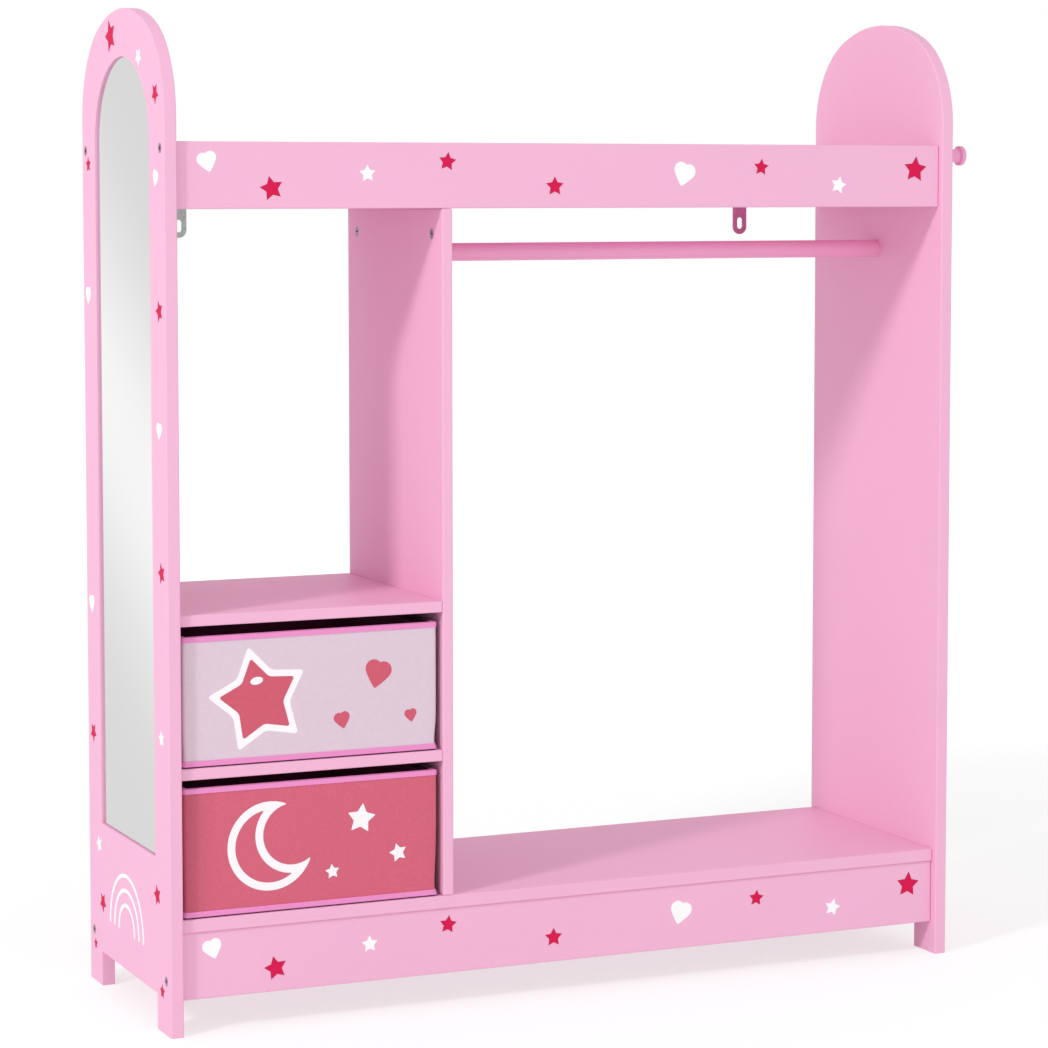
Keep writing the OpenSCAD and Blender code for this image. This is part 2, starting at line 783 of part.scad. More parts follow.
// The part of a shape that lies up to a given distance behind the shell's front, or with rest what
// lies behind that
module near_front(reach, rest = false) {
    intersection() {
        children();
        translate([-bin_w, -shell_d / 2 - 10 + (rest ? 10 + reach : 0), -10])
            cube([2 * bin_w, rest ? 2 * shell_d : 10 + reach, bin_h + 20]);
    }
}

// Printed cloth over a bin's front and round both front corners
module printed_front() {
    near_front(cloth_wrap) difference() {
        linear_extrude(shell_h) outer_outline();
        translate([0, 0, -1]) linear_extrude(shell_h + 2) outer_outline(-front_cloth_t);
    }
}

// Dark cloth walls and floor, with a pocket for each stiffener and a seat for the printed cloth
module bin_shell(level) {
    color(PLUM_CLOTH) in_bin(level) difference() {
        linear_extrude(shell_h) outer_outline();
        translate([0, 0, bin_outer_t]) linear_extrude(shell_h) inner_outline();
        wall_cards(pocket_gap, shell_h + 1);
        printed_front();
    }
}

module bin_front_cloth(level, cloth) {
    color(cloth) in_bin(level) printed_front();
}

// Tape folded over the rim, outside, inside and on top
module rim_tape() {
    difference() {
        translate([0, 0, shell_h - rim_tape_h])
            linear_extrude(rim_tape_h + binding_t) outer_outline(binding_t);
        translate([0, 0, shell_h - rim_tape_h - 1])
            linear_extrude(rim_tape_h + binding_t + 2) inner_outline(binding_t);
        difference() {
            translate([0, 0, shell_h - rim_tape_h - 1]) linear_extrude(rim_tape_h + 1) outer_outline();
            translate([0, 0, shell_h - rim_tape_h - 2]) linear_extrude(rim_tape_h + 4) inner_outline();
        }
    }
}

module bin_rim_binding(level) {
    color(BINDING_PINK) in_bin(level) near_front(tape_wrap) rim_tape();
}

module bin_rim_hem(level) {
    color(PLUM_CLOTH) in_bin(level) near_front(tape_wrap, true) rim_tape();
}

// Tape sewn along the outside of the bin's front foot
module bin_base_binding(level) {
    color(BINDING_PINK) in_bin(level) translate([0, 0, foot_tape_rise]) near_front(tape_wrap)
        difference() {
            linear_extrude(foot_tape_h) outer_outline(binding_t);
            translate([0, 0, -1]) linear_extrude(foot_tape_h + 2) outer_outline();
        }
}

module bin_wall_cards(level) {
    color(CARD) in_bin(level) wall_cards(0, shell_h - pocket_gap);
}

// Loose board, covered in lining cloth, on the bin's floor
module bin_base_board(level) {
    inset = 2 * (bin_wall + base_board_gap);
    color(PLUM_CLOTH) in_bin(level) translate([0, 0, bin_outer_t])
        linear_extrude(base_board_t) rounded_rect(shell_w - inset, shell_d - inset, inner_corner_r);
}

// ---------------------------------------------------------------- the unit

// Moves the carcass so that the overall width, pegs included, is centred on the origin
module place() {
    translate([-peg_len / 2, 0, 0]) children();
}

place() {
    left_side_panel();
    right_side_panel();
    divider_panel();
    top_shelf();
    top_front_rail();
    top_rear_rail();
    bin_bay_shelf(bay_shelf_z, BAY_BOLT_Z);  // bin_bay_top_shelf
    bin_bay_shelf(middle_shelf_z, MIDDLE_BOLT_Z);  // bin_bay_middle_shelf
    base_shelf();
    base_front_apron();
    base_rear_apron();
    side_mirror();
    mirror_tape_strips();
    hanging_rod();
    coat_peg(-1);  // coat_peg_front
    coat_peg(1);  // coat_peg_rear
    coat_peg_screws();
    panel_screws_left();
    panel_screws_right();
    divider_foot_screws();
    cam_locks();
    cam_bolts();
    wood_dowels();
    wall_bracket(BRACKET_X[0]);  // wall_bracket_left
    wall_bracket(BRACKET_X[1]);  // wall_bracket_right
    wall_bracket_screws();
    bin_shell(1);  // upper_bin_shell
    bin_front_cloth(1, LILAC_CLOTH);  // upper_bin_front_cloth
    bin_rim_binding(1);  // upper_bin_rim_binding
    bin_rim_hem(1);  // upper_bin_rim_hem
    bin_base_binding(1);  // upper_bin_base_binding
    bin_wall_cards(1);  // upper_bin_wall_cards
    bin_base_board(1);  // upper_bin_base_board
    bin_shell(0);  // lower_bin_shell
    bin_front_cloth(0, RED_CLOTH);  // lower_bin_front_cloth
    bin_rim_binding(0);  // lower_bin_rim_binding
    bin_rim_hem(0);  // lower_bin_rim_hem
    bin_base_binding(0);  // lower_bin_base_binding
    bin_wall_cards(0);  // lower_bin_wall_cards
    bin_base_board(0);  // lower_bin_base_board
}
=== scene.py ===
"""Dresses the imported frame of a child's dress-up storage unit with a side mirror.

The boards, the rod, the pegs, the mirror and the fittings are the frame's own solids with finishes
of sprayed paint, silvered acrylic and plated steel. The two cloth bins, their printing and the
scattered stars and hearts are modelled here and ride on the frame's bodies.
"""

import logging
import math
import random
from dataclasses import dataclass, field, replace
from enum import Enum
from typing import Any, Callable, Iterable, Optional, Sequence, Union

import bmesh
import bpy
from mathutils import Matrix, Vector


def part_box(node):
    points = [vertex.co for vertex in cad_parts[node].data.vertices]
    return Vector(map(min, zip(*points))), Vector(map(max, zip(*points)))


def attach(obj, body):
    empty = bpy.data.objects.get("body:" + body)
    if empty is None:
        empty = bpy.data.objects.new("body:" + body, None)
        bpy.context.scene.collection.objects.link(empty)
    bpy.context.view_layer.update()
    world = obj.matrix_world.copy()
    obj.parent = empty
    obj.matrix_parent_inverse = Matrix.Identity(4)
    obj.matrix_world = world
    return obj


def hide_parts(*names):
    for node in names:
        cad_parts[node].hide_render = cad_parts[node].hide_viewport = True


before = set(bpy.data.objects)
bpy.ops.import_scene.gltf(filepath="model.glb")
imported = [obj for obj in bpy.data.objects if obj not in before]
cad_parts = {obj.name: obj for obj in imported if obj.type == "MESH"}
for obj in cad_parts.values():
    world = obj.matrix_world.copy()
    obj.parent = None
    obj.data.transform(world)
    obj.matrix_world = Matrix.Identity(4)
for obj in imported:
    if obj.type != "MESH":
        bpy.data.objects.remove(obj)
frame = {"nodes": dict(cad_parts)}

MM = 0.001
LOG = logging.getLogger("dress_up_unit")

FILM_ROOT = 0.15 * MM  # how far a film's edge runs down into its surface, so that no gap shows
ARC_STEPS = 26  # along a drawn half circle
END_STEPS = 8  # round each end of a drawn line
STAR_VALLEY = 0.52  # a plain star's inner corners, as a share of its points' radius

Point2 = tuple[float, float]
Point3 = tuple[float, float, float]
Place = Callable[[float, float, float], Vector]
Mesh = bmesh.types.BMesh
Face = bmesh.types.BMFace
Piece = bpy.types.Object
Tree = bpy.types.NodeTree
Node = bpy.types.Node
Source = Union[bpy.types.Node, bpy.types.NodeSocket]


class Body(Enum):
    """The frame's bodies that a piece can ride on."""

    CARCASS = "carcass"
    UPPER_BIN = "upper_bin"
    LOWER_BIN = "lower_bin"


class Slot(Enum):
    """The names of the record's material slots."""

    PLUM_CLOTH = "plum_cloth"
    PALE_CLOTH = "pale_print_cloth"
    RED_CLOTH = "red_print_cloth"
    TAPE = "binding_tape"
    GREYBOARD = "greyboard"


class Wall(Enum):
    """The four walls of a bin, in the order in which its outline runs."""

    FRONT = 0
    RIGHT = 1
    BACK = 2
    LEFT = 3


# ---------------------------------------------------------------------------------------------
# Shader helpers
# ---------------------------------------------------------------------------------------------


def linear(code: str, share: float = 1.0) -> tuple[float, float, float, float]:
    """Turns an sRGB hex colour into Blender's linear colour.

    Args:
        code: The colour as "#RRGGBB".
        share: What the linear colour is multiplied by.

    Returns:
        Linear red, green and blue, and an alpha of one.
    """
    parts = [int(code[i : i + 2], 16) / 255 for i in (1, 3, 5)]
    straight = [p / 12.92 if p <= 0.04045 else ((p + 0.055) / 1.055) ** 2.4 for p in parts]
    return tuple(min(1.0, share * p) for p in straight) + (1.0,)


def per_mm(size: float) -> float:
    """Returns the scale of a pattern whose real size is given in millimetres."""
    return 1 / (size * MM)


def empty_tree(owner: Union[bpy.types.Material, bpy.types.World]) -> Tree:
    """Gives a new material or world an empty node tree.

    Args:
        owner: The material or the world.

    Returns:
        Its node tree.
    """
    owner.use_nodes = True
    owner.node_tree.nodes.clear()
    return owner.node_tree


def add_node(
    tree: Tree, kind: str, sockets: Optional[dict[Any, Any]] = None, **settings: Any
) -> Node:
    """Adds a shader node with its settings and links.

    Args:
        tree: The node tree to add to.
        kind: The node's type without its ShaderNode prefix.
        sockets: Input names or numbers, each with a value, with the output that feeds it or with
            the node whose first output in use does.
        **settings: The node's own attributes.

    Returns:
        The new node.
    """
    node = tree.nodes.new("ShaderNode" + kind)
    for name, value in settings.items():
        setattr(node, name, value)
    for key, value in (sockets or {}).items():
        if isinstance(value, bpy.types.Node):
            value = next(output for output in value.outputs if output.enabled)
        if isinstance(value, bpy.types.NodeSocket):
            tree.links.new(value, node.inputs[key])
        else:
            node.inputs[key].default_value = value
    return node


# ---------------------------------------------------------------------------------------------
# Finishes
# ---------------------------------------------------------------------------------------------


@dataclass(frozen=True)
class Finish:
    """What every finish has: its name, its colour, the shader's plain values and its relief.

    The relief is how strongly the surface's pattern stands out, and relief_mm how high.
    """

    name: str
    colour: str
    roughness: float = 0.5
    ior: float = 1.5
    metallic: float = 0.0
    sheen: float = 0.0
    specular: float = 0.5
    relief: float = 0.3
    relief_mm: float = 0.05

    def material(self) -> bpy.types.Material:
        """Makes the finish's material on the first call and finds it again later.

        Returns:
            The material.
        """
        made = bpy.data.materials.get(self.name)
        if made is None:
            made = bpy.data.materials.new(self.name)
            made.diffuse_color = linear(self.colour)
            tree = empty_tree(made)
            values = {
                "Base Color": linear(self.colour),
                "Roughness": self.roughness,
                "IOR": self.ior,
                "Metallic": self.metallic,
                "Sheen Weight": self.sheen,
                "Specular IOR Level": self.specular,
            }
            shader = add_node(tree, "BsdfPrincipled", values)
            height = self.dress(tree, shader)
            relief = {"Strength": self.relief, "Distance": self.relief_mm * MM, "Height": height}
            bump = add_node(tree, "Bump", relief)
            tree.links.new(bump.outputs["Normal"], shader.inputs["Normal"])
            add_node(tree, "OutputMaterial", {"Surface": shader})
        return made

    def dress(self, tree: Tree, shader: Node) -> Node:
        """Adds the finish's own pattern to its shader and returns the node of its height."""
        raise NotImplementedError(self.name)

    def shade(self, tree: Tree, shader: Node, mask: Source, low: float, high: float) -> None:
        """Lets the base colour drift between two strengths.

        Args:
            tree: The material's node tree.
            shader: The material's shader node.
            mask: What drives the drift, from 0 to 1.
            low: The colour's strength where the mask is 0.
            high: Its strength where the mask is 1.
        """
        dark, pale = linear(self.colour, low), linear(self.colour, high)
        mixed = add_node(tree, "Mix", {0: mask, 6: dark, 7: pale}, data_type="RGBA")
        tree.links.new(mixed.outputs[2], shader.inputs["Base Color"])


@dataclass(frozen=True)
class SprayedBoard(Finish):
    """Satin water-based paint, sprayed on medium-density fibreboard.

    The spray leaves an even, slightly soft gloss with a fine orange peel. The sawn edges drink
    more paint than the faces, so they look a little rougher and show a trace of fibre.
    """

    relief: float = 0.35
    thickness_axis: Point3 = (1.0, 0.0, 0.0)
    peel_mm: float = 2.6  # real orange peel is near 1 mm: drawn coarser, so that it shows
    fibre_mm: float = 1.1
    fibre_height: float = 0.8
    edge_roughness: float = 0.12
    cloud_mm: float = 34.0
    drift_mm: float = 210.0

    def dress(self, tree: Tree, shader: Node) -> Node:
        """Adds drift, orange peel and rougher sawn edges.

        Args:
            tree: The material's node tree.
            shader: The material's shader node.

        Returns:
            The node that gives the height of the peel and of the edges' fibre.
        """
        coords = add_node(tree, "TexCoord")
        place = coords.outputs["Object"]
        drift, cloud, peel, fibre = (
            add_node(tree, "TexNoise", {"Vector": place, "Scale": per_mm(size), "Detail": detail})
            for size, detail in (
                (self.drift_mm, 2.0), (self.cloud_mm, 3.0), (self.peel_mm, 1.0),
                (self.fibre_mm, 2.0),
            )
        )
        self.shade(tree, shader, drift, 0.975, 1.02)
        facing = add_node(
            tree, "VectorMath", {0: coords.outputs["Normal"], 1: self.thickness_axis},
            operation="DOT_PRODUCT",
        )
        flat = add_node(tree, "Math", {0: facing}, operation="ABSOLUTE")
        edge = add_node(tree, "MapRange", {"Value": flat, "From Min": 0.9, "From Max": 0.3})
        low, high = self.roughness - 0.04, self.roughness + 0.05
        gloss = add_node(tree, "MapRange", {"Value": cloud, "To Min": low, "To Max": high})
        values = {0: edge, 1: self.edge_roughness, 2: gloss}
        rough = add_node(tree, "Math", values, operation="MULTIPLY_ADD")
        tree.links.new(rough.outputs[0], shader.inputs["Roughness"])
        bare = add_node(tree, "Math", {0: fibre, 1: edge}, operation="MULTIPLY")
        heights = {0: bare, 1: self.fibre_height, 2: peel}
        return add_node(tree, "Math", heights, operation="MULTIPLY_ADD")


@dataclass(frozen=True)
class SprayedTurning(Finish):
    """Beech turned on a lathe and sprayed with the same satin paint.

    The pores of the wood show through the paint as short fine lines along the piece, and the
    turned round takes a clearer highlight than the boards.
    """

    relief_mm: float = 0.06
    pore_mm: float = 1.0
    pore_run_mm: float = 26.0
    pore_tone: float = 0.35
    drift_mm: float = 70.0

    def dress(self, tree: Tree, shader: Node) -> Node:
        """Adds grain lines along X and a slow drift of colour.

        Args:
            tree: The material's node tree.
            shader: The material's shader node.

        Returns:
            The node that gives the height of the pores.
        """
        place = add_node(tree, "TexCoord").outputs["Object"]
        scale = (per_mm(self.pore_run_mm), per_mm(self.pore_mm), per_mm(self.pore_mm))
        stretched = add_node(tree, "Mapping", {"Vector": place, "Scale": scale})
        pores = add_node(tree, "TexNoise", {"Vector": stretched, "Scale": 1.0, "Detail": 3.0})
        slow = {"Vector": place, "Scale": per_mm(self.drift_mm), "Detail": 1.0}
        drift = add_node(tree, "TexNoise", slow)
        tones = {0: pores, 1: self.pore_tone, 2: drift}
        both = add_node(tree, "Math", tones, operation="MULTIPLY_ADD")
        self.shade(tree, shader, both, 0.95, 1.03)
        return pores


@dataclass(frozen=True)
class SilveredAcrylic(Finish):
    """Acrylic sheet silvered on its back, with sawn and polished edges.

    It reflects a little greyer and softer than glass, and a cast sheet is never quite flat, so
    what it shows bends slightly.
    """

    relief: float = 0.25
    relief_mm: float = 0.4
    front: Point3 = (-1.0, 0.0, 0.0)
    edge_colour: str = "#E4E8E6"
    wave_mm: float = 150.0

    def dress(self, tree: Tree, shader: Node) -> Node:
        """Adds the silver to the front face alone, and a slow wave.

        Args:
            tree: The material's node tree.
            shader: The material's shader node.

        Returns:
            The node that gives the height of the wave.
        """
        coords = add_node(tree, "TexCoord")
        facing = add_node(
            tree, "VectorMath", {0: coords.outputs["Normal"], 1: self.front},
            operation="DOT_PRODUCT",
        )
        front = add_node(tree, "Math", {0: facing, 1: 0.5}, operation="GREATER_THAN")
        tree.links.new(front.outputs[0], shader.inputs["Metallic"])
        tones = {0: front, 6: linear(self.edge_colour), 7: linear(self.colour)}
        colour = add_node(tree, "Mix", tones, data_type="RGBA")
        tree.links.new(colour.outputs[2], shader.inputs["Base Color"])
        wave = {"Vector": coords.outputs["Object"], "Scale": per_mm(self.wave_mm), "Detail": 0.0}
        return add_node(tree, "TexNoise", wave)


@dataclass(frozen=True)
class ZincPlatedSteel(Finish):
    """Pressed or turned steel with bright zinc plating.

    The plating is a cool grey with small patches that shine differently, and fine scratches from
    the drum in which small parts are plated.
    """

    metallic: float = 1.0
    relief_mm: float = 0.03
    spangle_mm: float = 3.0
    scratch_mm: float = 0.5

    def dress(self, tree: Tree, shader: Node) -> Node:
        """Adds spangle to the roughness and scratches to the surface.

        Args:
            tree: The material's node tree.
            shader: The material's shader node.

        Returns:
            The node that gives the height of the scratches.
        """
        place = add_node(tree, "TexCoord").outputs["Object"]
        cells = {"Vector": place, "Scale": per_mm(self.spangle_mm)}
        spangle = add_node(tree, "TexVoronoi", cells)
        patch = add_node(tree, "SeparateColor", {"Color": spangle.outputs["Color"]})
        low, high = self.roughness - 0.08, self.roughness + 0.1
        gloss = add_node(tree, "MapRange", {"Value": patch, "To Min": low, "To Max": high})
        tree.links.new(gloss.outputs[0], shader.inputs["Roughness"])
        self.shade(tree, shader, patch.outputs[1], 0.88, 1.05)
        lines = {
            "Vector": place, "Scale": per_mm(self.scratch_mm), "Detail": 3.0, "Distortion": 1.5,
        }
        return add_node(tree, "TexNoise", lines)


@dataclass(frozen=True)
class FoamTape(Finish):
    """Closed-cell polyethylene foam tape, die-cut: matt, with a skin of small round cells."""

    relief: float = 0.5
    relief_mm: float = 0.1
    cell_mm: float = 0.8

    def dress(self, tree: Tree, shader: Node) -> Node:
        """Adds the cells to the colour and the surface.

        Args:
            tree: The material's node tree.
            shader: The material's shader node.

        Returns:
            The node that gives the height of the cells.
        """
        place = add_node(tree, "TexCoord").outputs["Object"]
        cells = add_node(tree, "TexVoronoi", {"Vector": place, "Scale": per_mm(self.cell_mm)})
        self.shade(tree, shader, cells, 0.86, 1.0)
        return cells


@dataclass(frozen=True)
class PressedFibre(Finish):
    """Bare beech or greyboard: dry matt fibre that runs one way."""

    relief: float = 0.4
    relief_mm: float = 0.08
    fibre_mm: float = 0.7
    run_mm: float = 12.0

    def dress(self, tree: Tree, shader: Node) -> Node:
        """Adds long flecks of fibre along X.

        Args:
            tree: The material's node tree.
            shader: The material's shader node.

        Returns:
            The node that gives the height of the flecks.
        """
        place = add_node(tree, "TexCoord").outputs["Object"]
        scale = (per_mm(self.run_mm), per_mm(self.fibre_mm), per_mm(self.fibre_mm))
        stretched = add_node(tree, "Mapping", {"Vector": place, "Scale": scale})
        fleck = add_node(tree, "TexNoise", {"Vector": stretched, "Scale": 1.0, "Detail": 4.0})
        self.shade(tree, shader, fleck, 0.74, 1.12)
        return fleck


@dataclass(frozen=True)
class SpunbondCloth(Finish):
    """Spunbonded polypropylene, the non-woven cloth of folding bins, heat-bonded in points.

    The bond points give a fine quilted look, the laid fibres a mottled tone, and the surface is
    matt with a faint dry sheen at a low angle.
    """

    relief: float = 0.5
    relief_mm: float = 0.12
    bond_mm: float = 2.4  # real points are about 1.2 mm apart: drawn twice as coarse, to show
    bond_height: float = 0.12
    mottle_mm: float = 5.0
    mottle: float = 0.06
    # Painted shade: the print is darkened towards its left end, where the side panel shades the
    # front.
    painted_left_shade: float = 0.0  # how much darker the printing gets towards the low end of X
    painted_shade_span_mm: Point2 = (-467.0, -430.0)
    painted_shade_depth: float = 0.5

    def dress(self, tree: Tree, shader: Node) -> Node:
        """Adds bond points, mottling and the print's uneven tone.

        Args:
            tree: The material's node tree.
            shader: The material's shader node.

        Returns:
            The node that gives the height of the points and the fibres.
        """
        coords = add_node(tree, "TexCoord")
        diagonal = {
            "Vector": coords.outputs["UV"], "Rotation": (0.0, 0.0, math.radians(45)),
            "Scale": (math.tau / (self.bond_mm * MM),) * 3,
        }
        axes = add_node(tree, "SeparateXYZ", {"Vector": add_node(tree, "Mapping", diagonal)})
        rows = [add_node(tree, "Math", {0: axes.outputs[i]}, operation="SINE") for i in (0, 1)]
        points = add_node(tree, "Math", {0: rows[0], 1: rows[1]}, operation="MULTIPLY")
        place = coords.outputs["Object"]
        laid = {
            "Vector": place, "Scale": per_mm(self.mottle_mm), "Detail": 4.0, "Roughness": 0.65,
        }
        heights = {0: points, 1: self.bond_height, 2: add_node(tree, "TexNoise", laid)}
        fibre = add_node(tree, "Math", heights, operation="MULTIPLY_ADD")
        self.shade(tree, shader, fibre, 1 - self.mottle, 1 + self.mottle)
        if self.painted_left_shade:
            self.paint_left_shade(tree, shader, place)
        return fibre

    def paint_left_shade(self, tree: Tree, shader: Node, place: Source) -> None:
        """Paints shade onto the print towards the bin's left end, where the side panel shades the
        front.

        Args:
            tree: The material's node tree.
            shader: The material's shader node.
            place: The position on the object.
        """
        axes = add_node(tree, "SeparateXYZ", {"Vector": place})
        near, far = (v * MM for v in self.painted_shade_span_mm)
        fading = {
            "Value": axes, "From Min": near, "From Max": far, "To Min": self.painted_left_shade,
            "To Max": 0.0,
        }
        toned = shader.inputs["Base Color"].links[0].from_socket
        deep = linear(self.colour, self.painted_shade_depth)
        tones = {0: add_node(tree, "MapRange", fading), 6: toned, 7: deep}
        deeper = add_node(tree, "Mix", tones, data_type="RGBA")
        tree.links.new(deeper.outputs[2], shader.inputs["Base Color"])


@dataclass(frozen=True)
class RibbedTape(Finish):
    """Woven polyester binding tape with crosswise ribs and a soft shine."""

    relief: float = 0.4
    relief_mm: float = 0.08
    rib_mm: float = 1.8  # real ribs are about 0.7 mm apart: drawn coarser, so that they show

    def dress(self, tree: Tree, shader: Node) -> Node:
        """Adds ribs across the tape.

        Args:
            tree: The material's node tree.
            shader: The material's shader node.

        Returns:
            The node that gives the height of the ribs.
        """
        coords = add_node(tree, "TexCoord")
        axes = add_node(tree, "SeparateXYZ", {"Vector": coords.outputs["UV"]})
        rate = math.tau / (self.rib_mm * MM)
        turns = add_node(tree, "Math", {0: axes, 1: rate}, operation="MULTIPLY")
        rib = add_node(tree, "Math", {0: turns}, operation="SINE")
        tone = add_node(tree, "MapRange", {"Value": rib, "From Min": -1.0, "From Max": 1.0})
        self.shade(tree, shader, tone, 0.93, 1.03)
        return tone


@dataclass(frozen=True)
class SmoothFilm(Finish):
    """A thin film with almost no texture: vinyl cut to a figure, or sewing thread's twist."""

    relief_mm: float = 0.01
    grain_mm: float = 1.6

    def dress(self, tree: Tree, shader: Node) -> Node:
        """Adds a slight unevenness to the tone and the surface.

        Args:
            tree: The material's node tree.
            shader: The material's shader node.

        Returns:
            The node that gives the height of the grain.
        """
        place = add_node(tree, "TexCoord").outputs["Object"]
        fine = {"Vector": place, "Scale": per_mm(self.grain_mm), "Detail": 2.0}
        grain = add_node(tree, "TexNoise", fine)
        self.shade(tree, shader, grain, 0.97, 1.02)
        return grain


# One paint on three lays of board, so that each board's sawn edges are found by its thickness.
BOARD_ON_EDGE = SprayedBoard("satin_sprayed_fibreboard_upright", "#F2B8D6", 0.46, specular=0.08)
BOARD_FLAT = replace(
    BOARD_ON_EDGE, name="satin_sprayed_fibreboard_shelf", thickness_axis=(0.0, 0.0, 1.0)
)
BOARD_FACING = replace(
    BOARD_ON_EDGE, name="satin_sprayed_fibreboard_rail", thickness_axis=(0.0, 1.0, 0.0)
)
TURNED_WOOD = SprayedTurning("satin_sprayed_turned_beech", "#F1A8CE", 0.36)
MIRROR = SilveredAcrylic("silvered_acrylic_sheet", "#E8E8E8", 0.035)
# One plating in clear and dull pinkish tones; the rosy copy is painted pink reflection and shade.
PLATED_STEEL = ZincPlatedSteel("zinc_plated_steel", "#B4B8B6", 0.36)
COOL_STEEL = ZincPlatedSteel("zinc_plated_steel_clear_passivated", "#ABBDB7", 0.36)
DULL_STEEL = ZincPlatedSteel("zinc_plated_steel_dull", "#B295A6", 0.45)
PAINTED_REFLECTION_STEEL = ZincPlatedSteel("zinc_plated_steel_painted_pink_reflection", "#CE8AAF", 0.36)
FOAM = FoamTape("die_cut_polyethylene_foam", "#EDEDE8", 0.85)
BARE_BEECH = PressedFibre("fluted_beech_dowel", "#D9BB8C", 0.7)
GREYBOARD = PressedFibre("pressed_greyboard", "#B79E7D", 0.9, fibre_mm=1.5, run_mm=3.0)
LILAC_CLOTH = SpunbondCloth("spunbond_cloth_pale_lilac", "#DFC9D6", 0.88, sheen=0.1)
# Painted shade darkens the red print's left end, where the side panel shades it.
RED_CLOTH = SpunbondCloth(
    "spunbond_cloth_printed_red", "#D4637A", 0.88, sheen=0.1, mottle=0.13, mottle_mm=3.5,
    painted_left_shade=0.35,
)
PLUM_CLOTH = SpunbondCloth("spunbond_cloth_dark_plum", "#54213A", 0.92, sheen=0.05)
# The lining is a real plum cloth coloured a lighter magenta: painted light for the bin's shaded
# inside.
LINING_WITH_PAINTED_LIGHT = SpunbondCloth("spunbond_lining_magenta_painted_light", "#9C4A76", 0.92, sheen=0.05)
# Ink fills the cloth's fibres, so it is less matt and less mottled than the bare cloth.
WHITE_INK = SpunbondCloth("screen_ink_white_on_spunbond", "#FAF7FA", 0.7, mottle=0.02)
RED_INK = SpunbondCloth("screen_ink_dusty_red_on_spunbond", "#D0596E", 0.75, mottle=0.08)
PINK_TAPE = RibbedTape("woven_polyester_binding_tape", "#EE8FCB", 0.55, sheen=0.15)
PINK_THREAD = SmoothFilm("polyester_sewing_thread", "#F4A6D6", 0.5, grain_mm=0.6, relief_mm=0.05)
PLUM_THREAD = replace(PINK_THREAD, name="polyester_sewing_thread_plum", colour="#6B2D4C")
# The vinyl is matt and nearly free of gloss, so its red stays deep under the lamps.
WHITE_VINYL = SmoothFilm("cut_vinyl_white", "#FFFFFF", 0.5, specular=0.1)
RED_VINYL = SmoothFilm("cut_vinyl_raspberry", "#D92152", 0.5, specular=0.03)
RED_RIM = SmoothFilm("cut_vinyl_raspberry_edge", "#A82B5A", 0.5, specular=0.03)
WHITE_PAINT = SmoothFilm("stencilled_white_paint", "#FFFFFF", 0.45)
VINYLS = (WHITE_VINYL, RED_VINYL, RED_RIM)

FINISHED_NODES: dict[Finish, tuple[str, ...]] = {
    BOARD_ON_EDGE: ("left_side_panel", "right_side_panel", "divider_panel"),
    BOARD_FLAT: ("top_shelf", "bin_bay_top_shelf", "bin_bay_middle_shelf", "base_shelf"),
    BOARD_FACING: ("top_front_rail", "top_rear_rail", "base_front_apron", "base_rear_apron"),
    MIRROR: ("side_mirror",),
    FOAM: ("mirror_tape_strips",),
    TURNED_WOOD: ("hanging_rod", "coat_peg_front", "coat_peg_rear"),
    PLATED_STEEL: ("coat_peg_screws", "cam_bolts", "wall_bracket_screws"),
    DULL_STEEL: ("panel_screws_left", "panel_screws_right", "divider_foot_screws", "cam_locks"),
    COOL_STEEL: ("wall_bracket_left",),
    # The right bracket's rosy tone is painted pink reflection and shade, not a passivation.
    PAINTED_REFLECTION_STEEL: ("wall_bracket_right",),
    BARE_BEECH: ("wood_dowels",),
}


# ---------------------------------------------------------------------------------------------
# Mesh helpers
# ---------------------------------------------------------------------------------------------


def link_object(name: str, data: bpy.types.ID) -> Piece:
    """Makes an object of a mesh, a lamp or a camera and links it to the scene.

    Args:
        name: The object's name.
        data: What it shows.

    Returns:
        The new object.
    """
    made = bpy.data.objects.new(name, data)
    bpy.context.scene.collection.objects.link(made)
    return made


def finish_object(
    name: str, mesh: Mesh, finishes: Sequence[Finish], smooth: bool = True
) -> Piece:
    """Turns a built mesh into an object with its finishes.

    Args:
        name: The piece's name.
        mesh: The built mesh, which is used up.
        finishes: The finishes of its material slots, in order.
        smooth: Whether its faces are shaded smooth, with edges over 35 degrees kept sharp.

    Returns:
        The new object.
    """
    data = bpy.data.meshes.new(name)
    mesh.normal_update()
    mesh.to_mesh(data)
    mesh.free()
    for finish in finishes:
        data.materials.append(finish.material())
    if smooth:
        data.shade_smooth()
        data.set_sharp_from_angle(angle=math.radians(35))
    return link_object(name, data)


@dataclass(frozen=True)
class RimPoint:
    """A point of a bin's outline, in metres.

    Attributes:
        x: Place across the unit.
        y: Place from front to back.
        nx: Outward direction, across.
        ny: Outward direction, front to back.
        along: Distance along the outline from its start.
        middle: 0 at a corner, rising to 1 in the middle of a wall.
        wall: The wall that the point belongs to, or None on a corner.
    """

    x: float
    y: float
    nx: float
    ny: float
    along: float
    middle: float
    wall: Optional[Wall]


